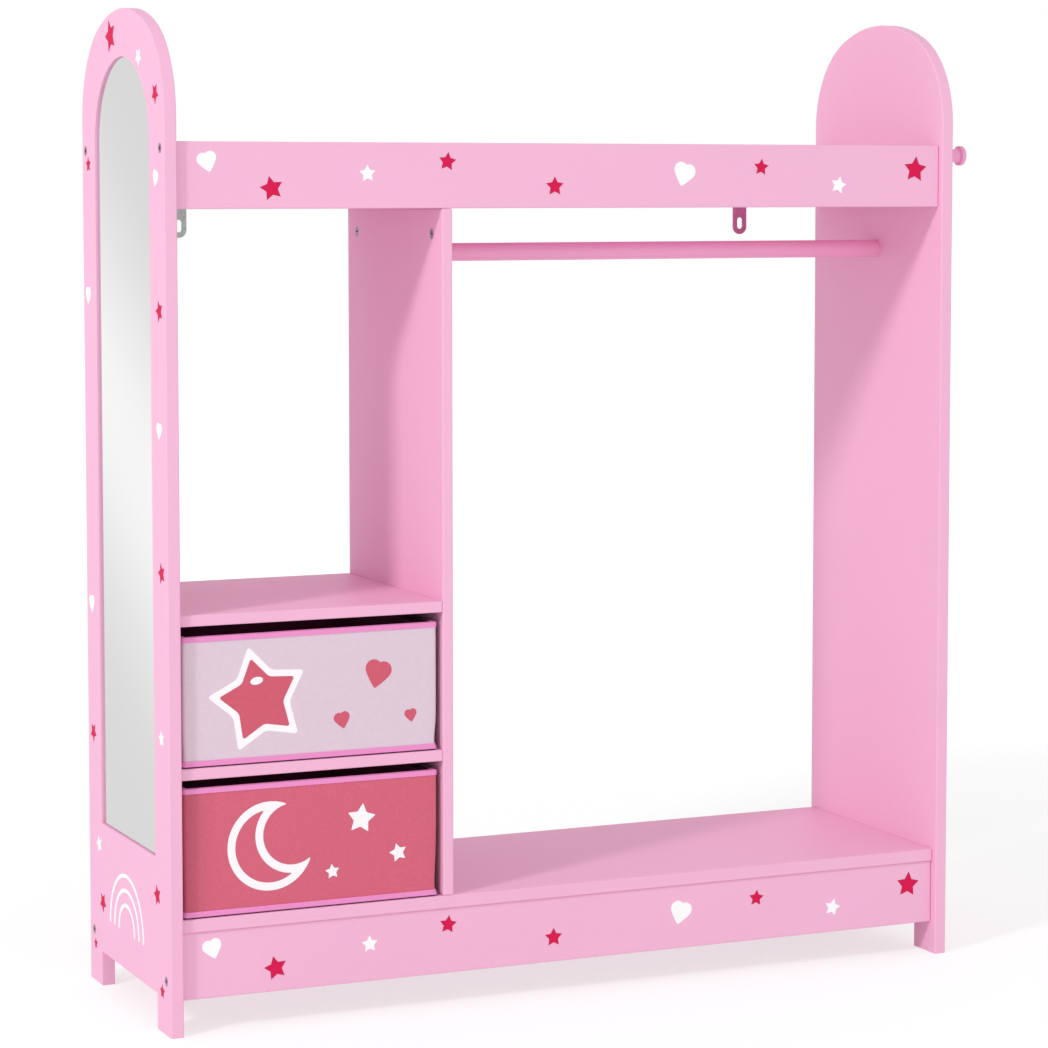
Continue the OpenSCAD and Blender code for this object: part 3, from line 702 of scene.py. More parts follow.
def rounded_outline(
    low: Point2, high: Point2, radius: float, step: float, corner_steps: int = 6
) -> list[RimPoint]:
    """Walks once round a rectangle with rounded corners, anticlockwise seen from above.

    Args:
        low: The corner with the lowest x and y.
        high: The corner with the highest x and y.
        radius: The corners' radius.
        step: The longest step along a wall.
        corner_steps: The steps round each corner.

    Returns:
        The outline's points, without a repeat of the first.
    """
    (x0, y0), (x1, y1), r = low, high, radius
    corners = [(x0 + r, y0 + r), (x1 - r, y0 + r), (x1 - r, y1 - r), (x0 + r, y1 - r)]
    points, along = [], 0.0
    for wall in Wall:
        turn = math.radians(-90 + 90 * wall.value)
        nx, ny = math.cos(turn), math.sin(turn)
        start, end = corners[wall.value], corners[(wall.value + 1) % 4]
        length = math.dist(start, end)
        count = max(2, math.ceil(length / step))
        for i in range(count + 1):
            u = i / count
            x = start[0] + (end[0] - start[0]) * u + nx * r
            y = start[1] + (end[1] - start[1]) * u + ny * r
            points.append(RimPoint(x, y, nx, ny, along + length * u, math.sin(math.pi * u), wall))
        along += length
        for i in range(1, corner_steps):
            a = turn + math.radians(90) * i / corner_steps
            c, s = math.cos(a), math.sin(a)
            reach = along + r * (a - turn)
            points.append(RimPoint(end[0] + c * r, end[1] + s * r, c, s, reach, 0.0, None))
        along += r * math.radians(90)
    return points


def outline_length(outline: Sequence[RimPoint]) -> float:
    """Returns the whole way round a closed outline, in metres."""
    last, first = outline[-1], outline[0]
    return last.along + math.dist((last.x, last.y), (first.x, first.y))


def point_at(outline: Sequence[RimPoint], along: float) -> RimPoint:
    """Returns the point of a closed outline at a distance, which may run past its ends.

    Args:
        outline: The closed outline.
        along: The distance along it, in metres; a negative one counts back from the start.

    Returns:
        The point between its two neighbours, which keeps the distance asked for.
    """
    around = outline_length(outline)
    place = along % around
    last = max(i for i, p in enumerate(outline) if p.along <= place)
    a, b = outline[last], outline[(last + 1) % len(outline)]
    span = (b.along if last + 1 < len(outline) else around) - a.along
    u = (place - a.along) / span if span else 0.0
    x, y, nx, ny, middle = (
        p + (q - p) * u
        for p, q in zip((a.x, a.y, a.nx, a.ny, a.middle), (b.x, b.y, b.nx, b.ny, b.middle))
    )
    size = math.hypot(nx, ny)
    wall = a.wall if a.wall is b.wall else None
    return RimPoint(x, y, nx / size, ny / size, along, middle, wall)


def stretch(outline: Sequence[RimPoint], start: float, end: float) -> list[RimPoint]:
    """Returns a part of a closed outline as an open one.

    Args:
        outline: The closed outline.
        start: The distance at which the part starts, in metres; it may be negative.
        end: The distance at which it ends.

    Returns:
        The part's points, whose distances run on past the outline's own start and end.
    """
    around = outline_length(outline)
    between = [
        replace(p, along=p.along + turn * around)
        for turn in (-1, 0, 1) for p in outline if start < p.along + turn * around < end
    ]
    return [point_at(outline, start), *between, point_at(outline, end)]


def with_stops(outline: Sequence[RimPoint], stops: Iterable[float]) -> list[RimPoint]:
    """Returns a closed outline with more points, at the given distances along it."""
    return sorted([*outline, *(point_at(outline, s) for s in stops)], key=lambda p: p.along)


def ease(share: float) -> float:
    """Returns a smooth rise from 0 to 1 while a share goes from 0 to 1."""
    held = min(1.0, max(0.0, share))
    return held * held * (3 - 2 * held)


def in_metres(sizes: Point2) -> Point2:
    """Turns a pair of millimetres into metres."""
    return sizes[0] * MM, sizes[1] * MM


def raised(points: Iterable[Point2], base: float) -> list[Point2]:
    """Turns (reach, rise) in millimetres into metres, with the rise counted from a base height."""
    return [(reach * MM, base + rise * MM) for reach, rise in points]


Swell = Callable[[RimPoint, float], float]


def sweep(
    outline: Sequence[RimPoint], profile: Sequence[Point2], swell: Swell, mesh: Mesh,
    ring: bool = True,
) -> None:
    """Sweeps a closed profile along an outline.

    Args:
        outline: The outline's points.
        profile: Points as (distance outward, height), up the outside and down the inside.
        swell: How far the cloth stands out at a point and a height.
        mesh: The mesh that takes the faces.
        ring: Whether the outline closes on itself; an open one is closed with flat ends.
    """
    uv = mesh.loops.layers.uv.verify()
    around = outline_length(outline)
    rings = []
    for point in outline:
        section = []
        for out, height in profile:
            reach = out + swell(point, height)
            section.append(
                mesh.verts.new((point.x + point.nx * reach, point.y + point.ny * reach, height))
            )
        rings.append(section)
    steps = [0.0]
    for a, b in zip(profile, [*profile[1:], profile[0]]):
        steps.append(steps[-1] + math.dist(a, b))
    for i in range(len(rings) if ring else len(rings) - 1):
        here, there = rings[i], rings[(i + 1) % len(rings)]
        u0 = outline[i].along
        u1 = outline[i + 1].along if i + 1 < len(rings) else around
        for j in range(len(profile)):
            k = (j + 1) % len(profile)
            face = mesh.faces.new((here[j], there[j], there[k], here[k]))
            corners = ((u0, steps[j]), (u1, steps[j]), (u1, steps[j + 1]), (u0, steps[j + 1]))
            for loop, corner in zip(face.loops, corners):
                loop[uv].uv = corner
    if not ring:
        mesh.faces.new(list(reversed(rings[0])))
        mesh.faces.new(rings[-1])


def close_rings(rings: Sequence[Sequence[bmesh.types.BMVert]], mesh: Mesh) -> list[Face]:
    """Skins a stack of rings of equal length and caps its two ends.

    Args:
        rings: The rings' points, anticlockwise as seen from the last ring's side.
        mesh: The mesh that takes the faces.

    Returns:
        The new faces.
    """
    faces = [mesh.faces.new(list(reversed(rings[0]))), mesh.faces.new(rings[-1])]
    for here, there in zip(rings, rings[1:]):
        for i in range(len(here)):
            k = (i + 1) % len(here)
            faces.append(mesh.faces.new((here[i], here[k], there[k], there[i])))
    return faces


def lay_slab(
    low: Point2, high: Point2, radius: float, levels: Sequence[Point2], mesh: Mesh
) -> None:
    """Builds a closed slab with soft edges out of rings that run in from its outline.

    Args:
        low: The slab's corner with the lowest x and y, in metres.
        high: The corner with the highest x and y.
        radius: Its corners' radius.
        levels: The rings as (inset, height), from the middle of the underside to that of the top.
        mesh: The mesh that takes the faces.
    """
    uv = mesh.loops.layers.uv.verify()
    rings = []
    for inset, height in levels:
        corner_r = max(radius - inset, 0.4 * radius)  # the inner rings keep a little roundness
        outline = rounded_outline(
            (low[0] + inset, low[1] + inset), (high[0] - inset, high[1] - inset), corner_r,
            step=1.0, corner_steps=4,
        )
        rings.append([mesh.verts.new((p.x, p.y, height)) for p in outline])
    for face in close_rings(rings, mesh):
        for loop in face.loops:
            # The height's share keeps the cloth's pattern from smearing over the upright edge.
            loop[uv].uv = (loop.vert.co.x + 0.3 * loop.vert.co.z, loop.vert.co.y)


def lay_figure(
    outline: Sequence[Point2], place: Place, lift: float, mesh: Mesh, cell: float = 0.0,
    slot: int = 0,
) -> None:
    """Lays a filled flat figure on a surface, with a thin edge that runs down into it.

    Args:
        outline: The figure's outline in metres, anticlockwise as it is seen.
        place: Turns (across, up, height over the surface) into a point.
        lift: The film's thickness.
        mesh: The mesh that takes the faces.
        cell: The size of the pieces that the figure is cut into to follow a curved surface.
        slot: The material slot of its faces.
    """
    flat = bmesh.new()
    flat.faces.new([flat.verts.new((u, v, 0.0)) for u, v in outline]).normal_update()
    bmesh.ops.triangulate(flat, faces=flat.faces[:])
    if cell:
        for axis, normal in enumerate((Vector((1, 0, 0)), Vector((0, 1, 0)))):
            ends = [p[axis] for p in outline]
            low, high = min(ends), max(ends)
            for i in range(1, math.ceil((high - low) / cell)):
                geometry = flat.verts[:] + flat.edges[:] + flat.faces[:]
                cut = normal * (low + i * cell)
                bmesh.ops.bisect_plane(flat, geom=geometry, plane_co=cut, plane_no=normal)
    copy_film(flat, place, lift, mesh, slot)


def lay_ribbon(
    path: Sequence[Point2], width: float, place: Place, lift: float, mesh: Mesh
) -> None:
    """Lays a drawn line of even width and with round ends on a surface.

    Args:
        path: The line's middle, in metres.
        width: The line's width.
        place: Turns (across, up, height over the surface) into a point.
        lift: The film's thickness.
        mesh: The mesh that takes the faces.
    """
    flat = bmesh.new()
    left, right = [], []
    for i, (u, v) in enumerate(path):
        before, after = path[max(i - 1, 0)], path[min(i + 1, len(path) - 1)]
        du, dv = after[0] - before[0], after[1] - before[1]
        size = math.hypot(du, dv)
        nu, nv = -dv / size * width / 2, du / size * width / 2
        left.append(flat.verts.new((u + nu, v + nv, 0.0)))
        right.append(flat.verts.new((u - nu, v - nv, 0.0)))
    for i in range(len(path) - 1):
        flat.faces.new((right[i], right[i + 1], left[i + 1], left[i]))
    turns = [math.pi * i / END_STEPS for i in range(1, END_STEPS)]
    for end, here, there in ((0, left, right), (-1, right, left)):
        centre = Vector((*path[end], 0.0))
        first = here[end].co - centre
        arc = [flat.verts.new(centre + Matrix.Rotation(turn, 3, "Z") @ first) for turn in turns]
        flat.faces.new([here[end], *arc, there[end]])
    copy_film(flat, place, lift, mesh, 0)


def copy_film(flat: Mesh, place: Place, lift: float, mesh: Mesh, slot: int) -> None:
    """Copies a flat figure onto its surface as a film with an edge.

    Args:
        flat: The flat figure, which is used up.
        place: Turns (across, up, height over the surface) into a point.
        lift: The film's thickness.
        mesh: The mesh that takes the faces.
        slot: The material slot of its faces.
    """
    uv = mesh.loops.layers.uv.verify()
    rim = [edge for edge in flat.edges if edge.is_boundary]
    top = {v: mesh.verts.new(place(v.co.x, v.co.y, lift)) for v in flat.verts}
    foot = {v: mesh.verts.new(place(v.co.x, v.co.y, -FILM_ROOT)) for e in rim for v in e.verts}
    for face in flat.faces:
        new = mesh.faces.new([top[v] for v in face.verts])
        new.material_index = slot
        for loop, source in zip(new.loops, face.verts):
            loop[uv].uv = (source.co.x, source.co.y)
    for edge in rim:
        a, b = (loop.vert for loop in (edge.link_loops[0], edge.link_loops[0].link_loop_next))
        new = mesh.faces.new((top[b], top[a], foot[a], foot[b]))
        new.material_index = slot
        for loop, source in zip(new.loops, (b, a, a, b)):
            loop[uv].uv = (source.co.x, source.co.y)
    flat.free()


# ---------------------------------------------------------------------------------------------
# Figures
# ---------------------------------------------------------------------------------------------


def round_off(points: Sequence[Point2], passes: int) -> list[Point2]:
    """Cuts the corners of a closed outline until it is round.

    Args:
        points: The outline.
        passes: How many times each corner is cut.

    Returns:
        The rounder outline.
    """
    for _ in range(passes):
        points = [
            (near * a[0] + (1 - near) * b[0], near * a[1] + (1 - near) * b[1])
            for a, b in zip(points, [*points[1:], points[0]]) for near in (0.75, 0.25)
        ]
    return list(points)


def star_outline(size: float, valley: float) -> list[Point2]:
    """Returns a five-pointed star with one point up, anticlockwise.

    Args:
        size: Its height from the low points to the top point.
        valley: The radius of its inner corners as a share of the points' radius.

    Returns:
        The star's ten corners.
    """
    radius = size / (1 + math.cos(math.radians(36)))
    corners = []
    for i in range(10):
        reach = radius * (1 if i % 2 == 0 else valley)
        angle = math.radians(90 + 36 * i)
        corners.append((reach * math.cos(angle), reach * math.sin(angle)))
    return corners


def soft_star(size: float, valley: float) -> list[Point2]:
    """Returns a star whose points and inner corners are rounded, and whose sides stay straight.

    Args:
        size: Its height before the corners are rounded.
        valley: The radius of its inner corners as a share of the points' radius.

    Returns:
        The star's outline.
    """
    corners = star_outline(size, valley)
    points = []
    for a, b in zip(corners, [*corners[1:], corners[0]]):
        # Each side stays straight between the last two of these shares of its length.
        points += [(a[0] + (b[0] - a[0]) * u, a[1] + (b[1] - a[1]) * u) for u in (0, 0.28, 0.72)]
    return round_off(points, 3)


def heart_outline(size: float) -> list[Point2]:
    """Returns a plump heart with its point down, anticlockwise.

    Two rounds make the lobes, and a curved side runs from each down to a slightly blunt tip.

    Args:
        size: Its height, which is also its width.

    Returns:
        The heart's outline.
    """
    # Everything is drawn in radii of a lobe: the lobes' centres lie aside from the middle, the
    # tip lies down from them, and each side bends towards one place and meets its lobe at another.
    aside, down = 0.62, 2.24
    a = size / (1 + down)
    bend, meet = (0.81 * a, -1.485 * a), (1.439 * a, -0.574 * a)
    blunt, side_steps, lobe_steps = 0.05, 9, 15
    lobe_start, lobe_turn = -35, 163.3
    right = []
    for i in range(side_steps):
        u = blunt + (1 - blunt) * i / side_steps
        x = 2 * u * (1 - u) * bend[0] + u * u * meet[0]
        y = -(1 - u) ** 2 * down * a + 2 * u * (1 - u) * bend[1] + u * u * meet[1]
        right.append((x, y))
    for i in range(lobe_steps + 1):
        angle = math.radians(lobe_start + lobe_turn * i / lobe_steps)
        right.append(((aside + math.cos(angle)) * a, math.sin(angle) * a))
    left = [(-x, y) for x, y in reversed(right[:-1])]
    return [(x, y + (down - 1) / 2 * a) for x, y in right + left]


def crescent_outline(radius: float, bite: float, shift: float, passes: int) -> list[Point2]:
    """Returns the outline of a moon's crescent with soft tips.

    Args:
        radius: The moon's radius.
        bite: The radius of the round that is cut out of it.
        shift: How far the cut's centre lies to the right of the moon's.
        passes: How often the outline's corners are cut, which rounds the tips.

    Returns:
        The crescent's outline.
    """
    meet = (radius**2 - bite**2 + shift**2) / (2 * shift)
    outer = math.acos(meet / radius)
    inner = math.acos((meet - shift) / bite)
    points, outer_steps, inner_steps = [], 28, 20
    for i in range(outer_steps + 1):
        a = outer + (math.tau - 2 * outer) * i / outer_steps
        points.append((radius * math.cos(a), radius * math.sin(a)))
    for i in range(1, inner_steps):
        a = math.tau - inner - (math.tau - 2 * inner) * i / inner_steps
        points.append((shift + bite * math.cos(a), bite * math.sin(a)))
    return round_off(points, passes)


def half_circle(radius: float) -> list[Point2]:
    """Returns the upper half of a circle round the origin, from right to left."""
    angles = [math.radians(180 * i / ARC_STEPS) for i in range(ARC_STEPS + 1)]
    return [(radius * math.cos(a), radius * math.sin(a)) for a in angles]


def moved(points: Iterable[Point2], centre: Point2, turn: float = 0.0) -> list[Point2]:
    """Turns an outline, in degrees anticlockwise, and moves it to a place."""
    c, s = math.cos(math.radians(turn)), math.sin(math.radians(turn))
    return [(centre[0] + u * c - v * s, centre[1] + u * s + v * c) for u, v in points]


class Figure(Enum):
    """The plain figures scattered over the boards."""

    STAR = "star"
    HEART = "heart"

    def outline(self, size: float) -> list[Point2]:
        """Returns the figure's outline at a size in metres."""
        return star_outline(size, STAR_VALLEY) if self is Figure.STAR else heart_outline(size)


@dataclass(frozen=True)
class Sticker:
    """One figure of cut vinyl: what it is, its place as seen, its size and its turn.

    The place and the size are in millimetres, and the turn in degrees anticlockwise.
    """

    figure: Figure
    red: bool
    across: float
    up: float
    size: float
    turn: float = 0.0


def star(red: bool, across: float, up: float, size: float, turn: float = 0.0) -> Sticker:
    """Returns a star sticker."""
    return Sticker(Figure.STAR, red, across, up, size, turn)


def heart(across: float, up: float, size: float, turn: float = 0.0) -> Sticker:
    """Returns a white heart sticker."""
    return Sticker(Figure.HEART, False, across, up, size, turn)


@dataclass
class StickerField:
    """The stickers of one board face, as one piece, with sizes in millimetres.

    A red one is cut from a darker film, which shows as a thin rim round its face.
    """

    name: str
    place: Place
    stickers: Sequence[Sticker]
    film: float = 0.14
    face_lift: float = 0.05
    rim: float = 0.55
    rim_reach: float = 2.6  # how many rims a face is smaller than its film

    def build(self) -> Piece:
        """Builds the stickers and lets them ride on the carcass.

        Returns:
            The new piece.
        """
        mesh = bmesh.new()
        for sticker in self.stickers:
            centre = in_metres((sticker.across, sticker.up))
            whole = sticker.figure.outline(sticker.size * MM)
            layers = [(1.0, self.film, RED_RIM if sticker.red else WHITE_VINYL)]
            if sticker.red:
                share = 1 - self.rim_reach * self.rim / sticker.size
                layers.append((share, self.film + self.face_lift, RED_VINYL))
            for share, lift, vinyl in layers:
                shape = moved([(u * share, v * share) for u, v in whole], centre, sticker.turn)
                lay_figure(shape, self.place, lift * MM, mesh, slot=VINYLS.index(vinyl))
        piece = finish_object(self.name, mesh, VINYLS, smooth=False)
        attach(piece, Body.CARCASS.value)
        return piece


# ---------------------------------------------------------------------------------------------
# The carcass and what is stuck on it
# ---------------------------------------------------------------------------------------------


@dataclass
class Carcass:
    """The boards, rod, pegs, mirror and fittings, which are the frame's own solids."""

    nodes: dict[str, Piece]
    finishes: dict[Finish, tuple[str, ...]] = field(
        default_factory=lambda: dict(FINISHED_NODES)
    )

    def dress(self) -> list[str]:
        """Gives each carried-over solid its finish.

        Returns:
            The names of the solids that were dressed.
        """
        for finish, names in self.finishes.items():
            for name in names:
                data = self.nodes[name].data
                data.materials.clear()
                data.materials.append(finish.material())
        return sorted(name for names in self.finishes.values() for name in names)


@dataclass
class Decoration:
    """The stars and hearts on the front and the left side panel, and the line drawing at its foot.

    The rail and the apron carry the same scatter, the apron's a fixed height lower. Sizes are in
    millimetres.
    """

    apron_drop: float = 816.2
    line_width: float = 4.2
    arcs: tuple[float, ...] = (60.0, 44.0, 28.0)
    arcs_centre: Point2 = (-8.0, 80.0)
    paint: float = 0.12

    def front_scatter(self, drop: float) -> list[Sticker]:
        """Lists the front's stickers.

        Args:
            drop: How far below the rail's scatter they lie, in millimetres.

        Returns:
            The stickers, from left to right.
        """
        return [
            heart(-436.3, 903.8 - drop, 21.3, 15),
            star(True, -367, 877.1 - drop, 23.6, 13),
            star(False, -261, 892.4 - drop, 17, 2),
            star(True, -170.7, 905.1 - drop, 18.4, -7),
            star(True, -46.2, 879.1 - drop, 19.1),
            heart(108.4, 891.7 - drop, 26, -16),
            star(True, 203.7, 900 - drop, 17, -5),
            star(False, 301.3, 880.5 - drop, 18.3, -14),
            star(True, 399.8, 898 - drop, 26.8, -5),
        ]

    def side_scatter(self) -> list[Sticker]:
        """Lists the side panel's stickers; across is counted towards the front.

        Returns:
            The stickers, from the top down.
        """
        return [
            star(True, -36.4, 1038.4, 32.5, 18),
            star(False, 62.5, 1012.8, 18.4, 36),
            star(True, 118.5, 973.8, 20.4, 40),
            star(True, -123, 903.2, 16, 3),
            heart(117.4, 887.2, 17.4, -16),
            heart(-128, 760.3, 19.3),
            star(True, 126.5, 751.6, 21, 17),
            heart(122.6, 628.3, 17.6, -3),
            star(True, 126.4, 481.9, 20.6, 16),
            heart(-126.6, 420.9, 20, 8),
            star(False, 121, 309.6, 16.6, 8),
            star(True, -125.7, 278.6, 20.2, 40),
            star(False, -108.5, 156.6, 18.6, 18),
            star(True, 102.3, 141.8, 21, 15),
            star(True, -95.8, 94, 21, 40),
            star(True, 117.1, 43.2, 14.4),
            star(True, -125, 42, 11.6, 5),
        ]

    def build(self) -> list[Piece]:
        """Builds every sticker field and the line drawing.

        Returns:
            The new pieces.
        """
        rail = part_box("top_front_rail")[0].y
        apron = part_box("base_front_apron")[0].y
        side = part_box("left_side_panel")[0].x
        on_side: Place = lambda u, v, w: Vector((side - w, -u, v))
        fields = [
            StickerField("rail_stars_and_hearts", lambda u, v, w: Vector((u, rail - w, v)),
                         self.front_scatter(0.0)),
            StickerField("apron_stars_and_hearts", lambda u, v, w: Vector((u, apron - w, v)),
                         self.front_scatter(self.apron_drop)),
            StickerField("side_panel_stars_and_hearts", on_side, self.side_scatter()),
        ]
        return [f.build() for f in fields] + [self.line_drawing(on_side)]

    def line_drawing(self, on_side: Place) -> Piece:
        """Builds three plain white arcs near the side panel's foot.

        Args:
            on_side: Turns a place on the panel into a point.

        Returns:
            The new piece.
        """
        mesh = bmesh.new()
        for radius in self.arcs:
            path = moved(half_circle(radius * MM), in_metres(self.arcs_centre))
            lay_ribbon(path, self.line_width * MM, on_side, self.paint * MM, mesh)
        piece = finish_object("side_panel_white_arcs", mesh, (WHITE_PAINT,), smooth=False)
        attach(piece, Body.CARCASS.value)
        return piece


# ---------------------------------------------------------------------------------------------
# The cloth bins
# ---------------------------------------------------------------------------------------------


@dataclass
class FabricBin:
    """One pull-out bin of dark plum cloth with a printed front, taped along its rim and its foot.

    Sizes are in millimetres. The boxes come from the frame, so the bin stays where its solids are.
    The front tapes and the printed cloth run a little way round both front corners.
    """

    body: Body
    cloth: Finish
    slot: Slot
    seed: int
    tuck_reach: float  # how far up the sides' tuck reaches, as a share of the height
    rim_tilt: float = 0.0
    corner_r: float = 3.5
    wall_step: float = 7.0
    cloth_t: float = 0.6
    cloth_rise: float = 0.1
    cloth_rows: int = 18
    cloth_wrap: float = 6.0
    cloth_edge: float = 0.2  # the wall steps back within this distance of the print's edge
    print_t: float = 0.5
    print_lap: float = 1.0  # how far above the foot tape's lower edge the print ends
    print_cell: float = 9.0  # the figures are cut into pieces of this size, to follow the swell
    card_inset: float = 1.4
    card_t: float = 2.0
    card_margin: float = 2.0
    card_free: Point2 = (4.0, 0.4)  # what is left free at the foot and below the rim
    lining_inset: float = 3.6
    lining_t: float = 1.0
    lining_free: Point2 = (1.9, 0.2)
    lining_sag: float = 0.7
    lining_shift: float = 50.0  # how far along the lining's creases lie from the outer cloth's
    inner_rows: int = 12
    board_t: float = 3.2
    board_corner_r: float = 3.0
    tape_wrap: float = 8.0
    rim_tape_h: float = 5.0
    foot_tape_h: float = 5.8
    foot_tape_rise: float = 1.2
    tape_t: float = 0.8
    front_swell: float = 1.3
    side_swell: float = 0.9
    foot_flare: float = 0.6
    crease: float = 0.3
    creases: int = 5  # waves that are laid over each other
    tuck: float = 2.3  # how far the right side is pulled in over the foot
    tuck_left: float = 0.4  # the left side's share of it
    tuck_start: float = 0.06  # where it is deepest, as a share of the height
    tuck_span: float = 40.0  # how far in from each side the cloth follows
    stitch_pitch: float = 3.6
    stitch_len: float = 2.5
    stitch_r: float = 0.24
    stitch_sink: float = 0.12
    rim_seam: float = 1.3  # over the rim tape's lower edge
    foot_seam: float = 1.6  # below the foot tape's upper edge

    def __post_init__(self) -> None:
        """Reads the bin's boxes and draws the cloth's small creases."""
        low, self.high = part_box(self.name("shell"))
        self.low = Vector((low.x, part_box(self.name("front_cloth"))[0].y, low.z))
        self.height = self.high.z - self.low.z
        draw = random.Random(self.seed)
        # Each crease wave: turns round the bin, turns up it, phase and strength.
        self.waves = [
            (draw.randint(4, 14), draw.uniform(-0.6, 0.6), draw.uniform(0, math.tau),
             draw.uniform(0.3, 1))
            for _ in range(self.creases)
        ]
        radius = self.corner_r * MM
        self.outline = rounded_outline(
            (self.low.x, self.low.y), (self.high.x, self.high.y), radius, self.wall_step * MM
        )
        self.around = outline_length(self.outline)
        self.front = self.high.x - self.low.x - 2 * radius
        self.side = self.high.y - self.low.y - 2 * radius
        self.corner = radius * math.radians(90)

    def name(self, part: str) -> str:
        """Returns the name of one of the bin's pieces."""
        return f"{self.body.value}_{part}"

    def share(self, height: float) -> float:
        """Returns a height as a share of the shell's height, from 0 to 1."""
        return min(1.0, max(0.0, (height - self.low.z) / self.height))

    def front_ends(self, wrap: float) -> Point2:
        """Returns where the outline leaves the front, some millimetres round each corner."""
        reach = self.corner + wrap * MM
        return -reach, self.front + reach

    def front_stretch(self, wrap: float) -> list[RimPoint]:
        """Returns the outline over the front and some millimetres round both corners."""
        return stretch(self.outline, *self.front_ends(wrap))

    def rest_stretch(self, wrap: float) -> list[RimPoint]:
        """Returns the outline where front_stretch leaves it."""
        start, end = self.front_ends(wrap)
        return stretch(self.outline, end, self.around + start)

    def crease_at(self, along: float, share: float) -> float:
        """Finds how far the creases lift the cloth at a place.

        Args:
            along: The distance along the outline, in metres.
            share: The height as a share of the shell's.

        Returns:
            The lift, in metres.
        """
        total, weight = 0.0, 0.0
        for across, up, phase, size in self.waves:
            turn = math.tau * (across * along / self.around + up * share) + phase
            total += size * (0.5 + 0.5 * math.sin(turn))
            weight += size
        return self.crease * MM * total / weight * math.sin(math.pi * share) ** 0.5

    def stand_out(self, along: float, middle: float, front: bool, height: float) -> float:
        """Finds how far the outer cloth stands out from its plain box.

        A wall bellies out most a little under half its height. The cloth flares at the foot, most
        of all at the corners, where the base board pushes it out.

        Args:
            along: The distance along the outline, in metres.
            middle: 0 at a corner, 1 in the middle of a wall.
            front: Whether the place is on the front wall.
            height: The height, in metres.

        Returns:
            The distance outward, in metres.
        """
        share = self.share(height)
        swell = self.front_swell if front else self.side_swell
        belly = swell * middle**0.7 * math.sin(math.pi * min(1.0, 0.12 + 0.88 * share)) ** 0.8
        flare = self.foot_flare * (1 - share) ** 9 * (1 - 0.6 * middle)
        return (belly + flare) * MM + self.crease_at(along, share)

    def swell(self, point: RimPoint, height: float) -> float:
        """Returns how far the outer cloth stands out at a point of the outline."""
        front = point.wall is Wall.FRONT
        return self.stand_out(point.along, point.middle, front, height)

    def wall_swell(self, point: RimPoint, height: float) -> float:
        """Finds how far the plum wall stands out, which lies back under the printed cloth.

        Args:
            point: The point of the outline.
            height: The height, in metres.

        Returns:
            The distance outward, in metres.
        """
        start, end = self.front_ends(self.cloth_wrap)
        along = point.along % self.around
        covered = along < end or along > self.around + start
        return self.swell(point, height) - (self.cloth_t * MM if covered else 0.0)

    def inner_swell(self, point: RimPoint, height: float) -> float:
        """Finds how far the lining stands out, which sags into the bin between its seams.

        Args:
            point: The point of the outline.
            height: The height, in metres.

        Returns:
            The distance outward, in metres, which is never over 0.
        """
        share = self.share(height)
        sag = self.lining_sag * point.middle * math.sin(math.pi * share)
        return -sag * MM - self.crease_at(point.along + self.lining_shift * MM, share)

    def rim_swell(self, point: RimPoint, height: float) -> float:
        """Returns how far the rim's tape stands out, which is the same over its whole height."""
        return self.swell(point, max(height, self.high.z - self.rim_tape_h * MM))

    def on_front(self, u: float, v: float, w: float) -> Vector:
        """Places a point of the printing on the swollen front.

        Args:
            u: Its place across the unit, in metres.
            v: Its height.
            w: How far it lies over the cloth.

        Returns:
            The point.
        """
        along = u - self.low.x - self.corner_r * MM
        middle = math.sin(math.pi * min(1.0, max(0.0, along / self.front)))
        return Vector((u, self.low.y - self.stand_out(along, middle, True, v) - w, v))

    def settle(self, mesh: Mesh) -> None:
        """Pulls the sides in over the foot and lets the rim rise to the right, as slack cloth does.

        Args:
            mesh: One of the bin's meshes, whose points are moved.
        """
        span, width = self.tuck_span * MM, self.high.x - self.low.x
        for vert in mesh.verts:
            share = self.share(vert.co.z)
            fade = (max(0.0, share - self.tuck_start) / self.tuck_reach) ** 2
            pull = self.tuck * MM * min(1.0, share / self.tuck_start) * math.exp(-fade)
            right = ease((vert.co.x - self.high.x + span) / span)
            left = ease((self.low.x + span - vert.co.x) / span)
            across = (vert.co.x - self.low.x) / width
            vert.co.x -= pull * (right - self.tuck_left * left)
            vert.co.z += self.rim_tilt * MM * share * across

    def piece(
        self, part: str, mesh: Mesh, finish: Finish, slot: Slot, *nodes: str
    ) -> Piece:
        """Turns a mesh into one of the bin's pieces, which rides on the bin.

        Args:
            part: The piece's name without the bin's.
            mesh: The built mesh, which is used up.
            finish: The piece's finish.
            slot: The record's slot for the piece; not used.
            *nodes: The bin's solids that the piece stands for.

        Returns:
            The new piece.
        """
        self.settle(mesh)
        made = finish_object(self.name(part), mesh, (finish,))
        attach(made, self.body.value)
        if nodes:
            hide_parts(*(self.name(node) for node in nodes))
        return made

    def sheet_profile(
        self, inset: float, depth: float, free: Point2, rows: int
    ) -> list[Point2]:
        """Draws the section of an upright sheet, up its outside and down its inside.

        Args:
            inset: How far in its outer side lies, in millimetres.
            depth: Its thickness.
            free: What it leaves free at the shell's foot and below its rim.
            rows: The rows of faces that it is built in.

        Returns:
            The section, in metres.
        """
        low, high = self.low.z + free[0] * MM, self.high.z - free[1] * MM
        levels = [low + (high - low) * i / rows for i in range(rows + 1)]
        outside, inside = -inset * MM, -(inset + depth) * MM
        return [(outside, z) for z in levels] + [(inside, z) for z in reversed(levels)]

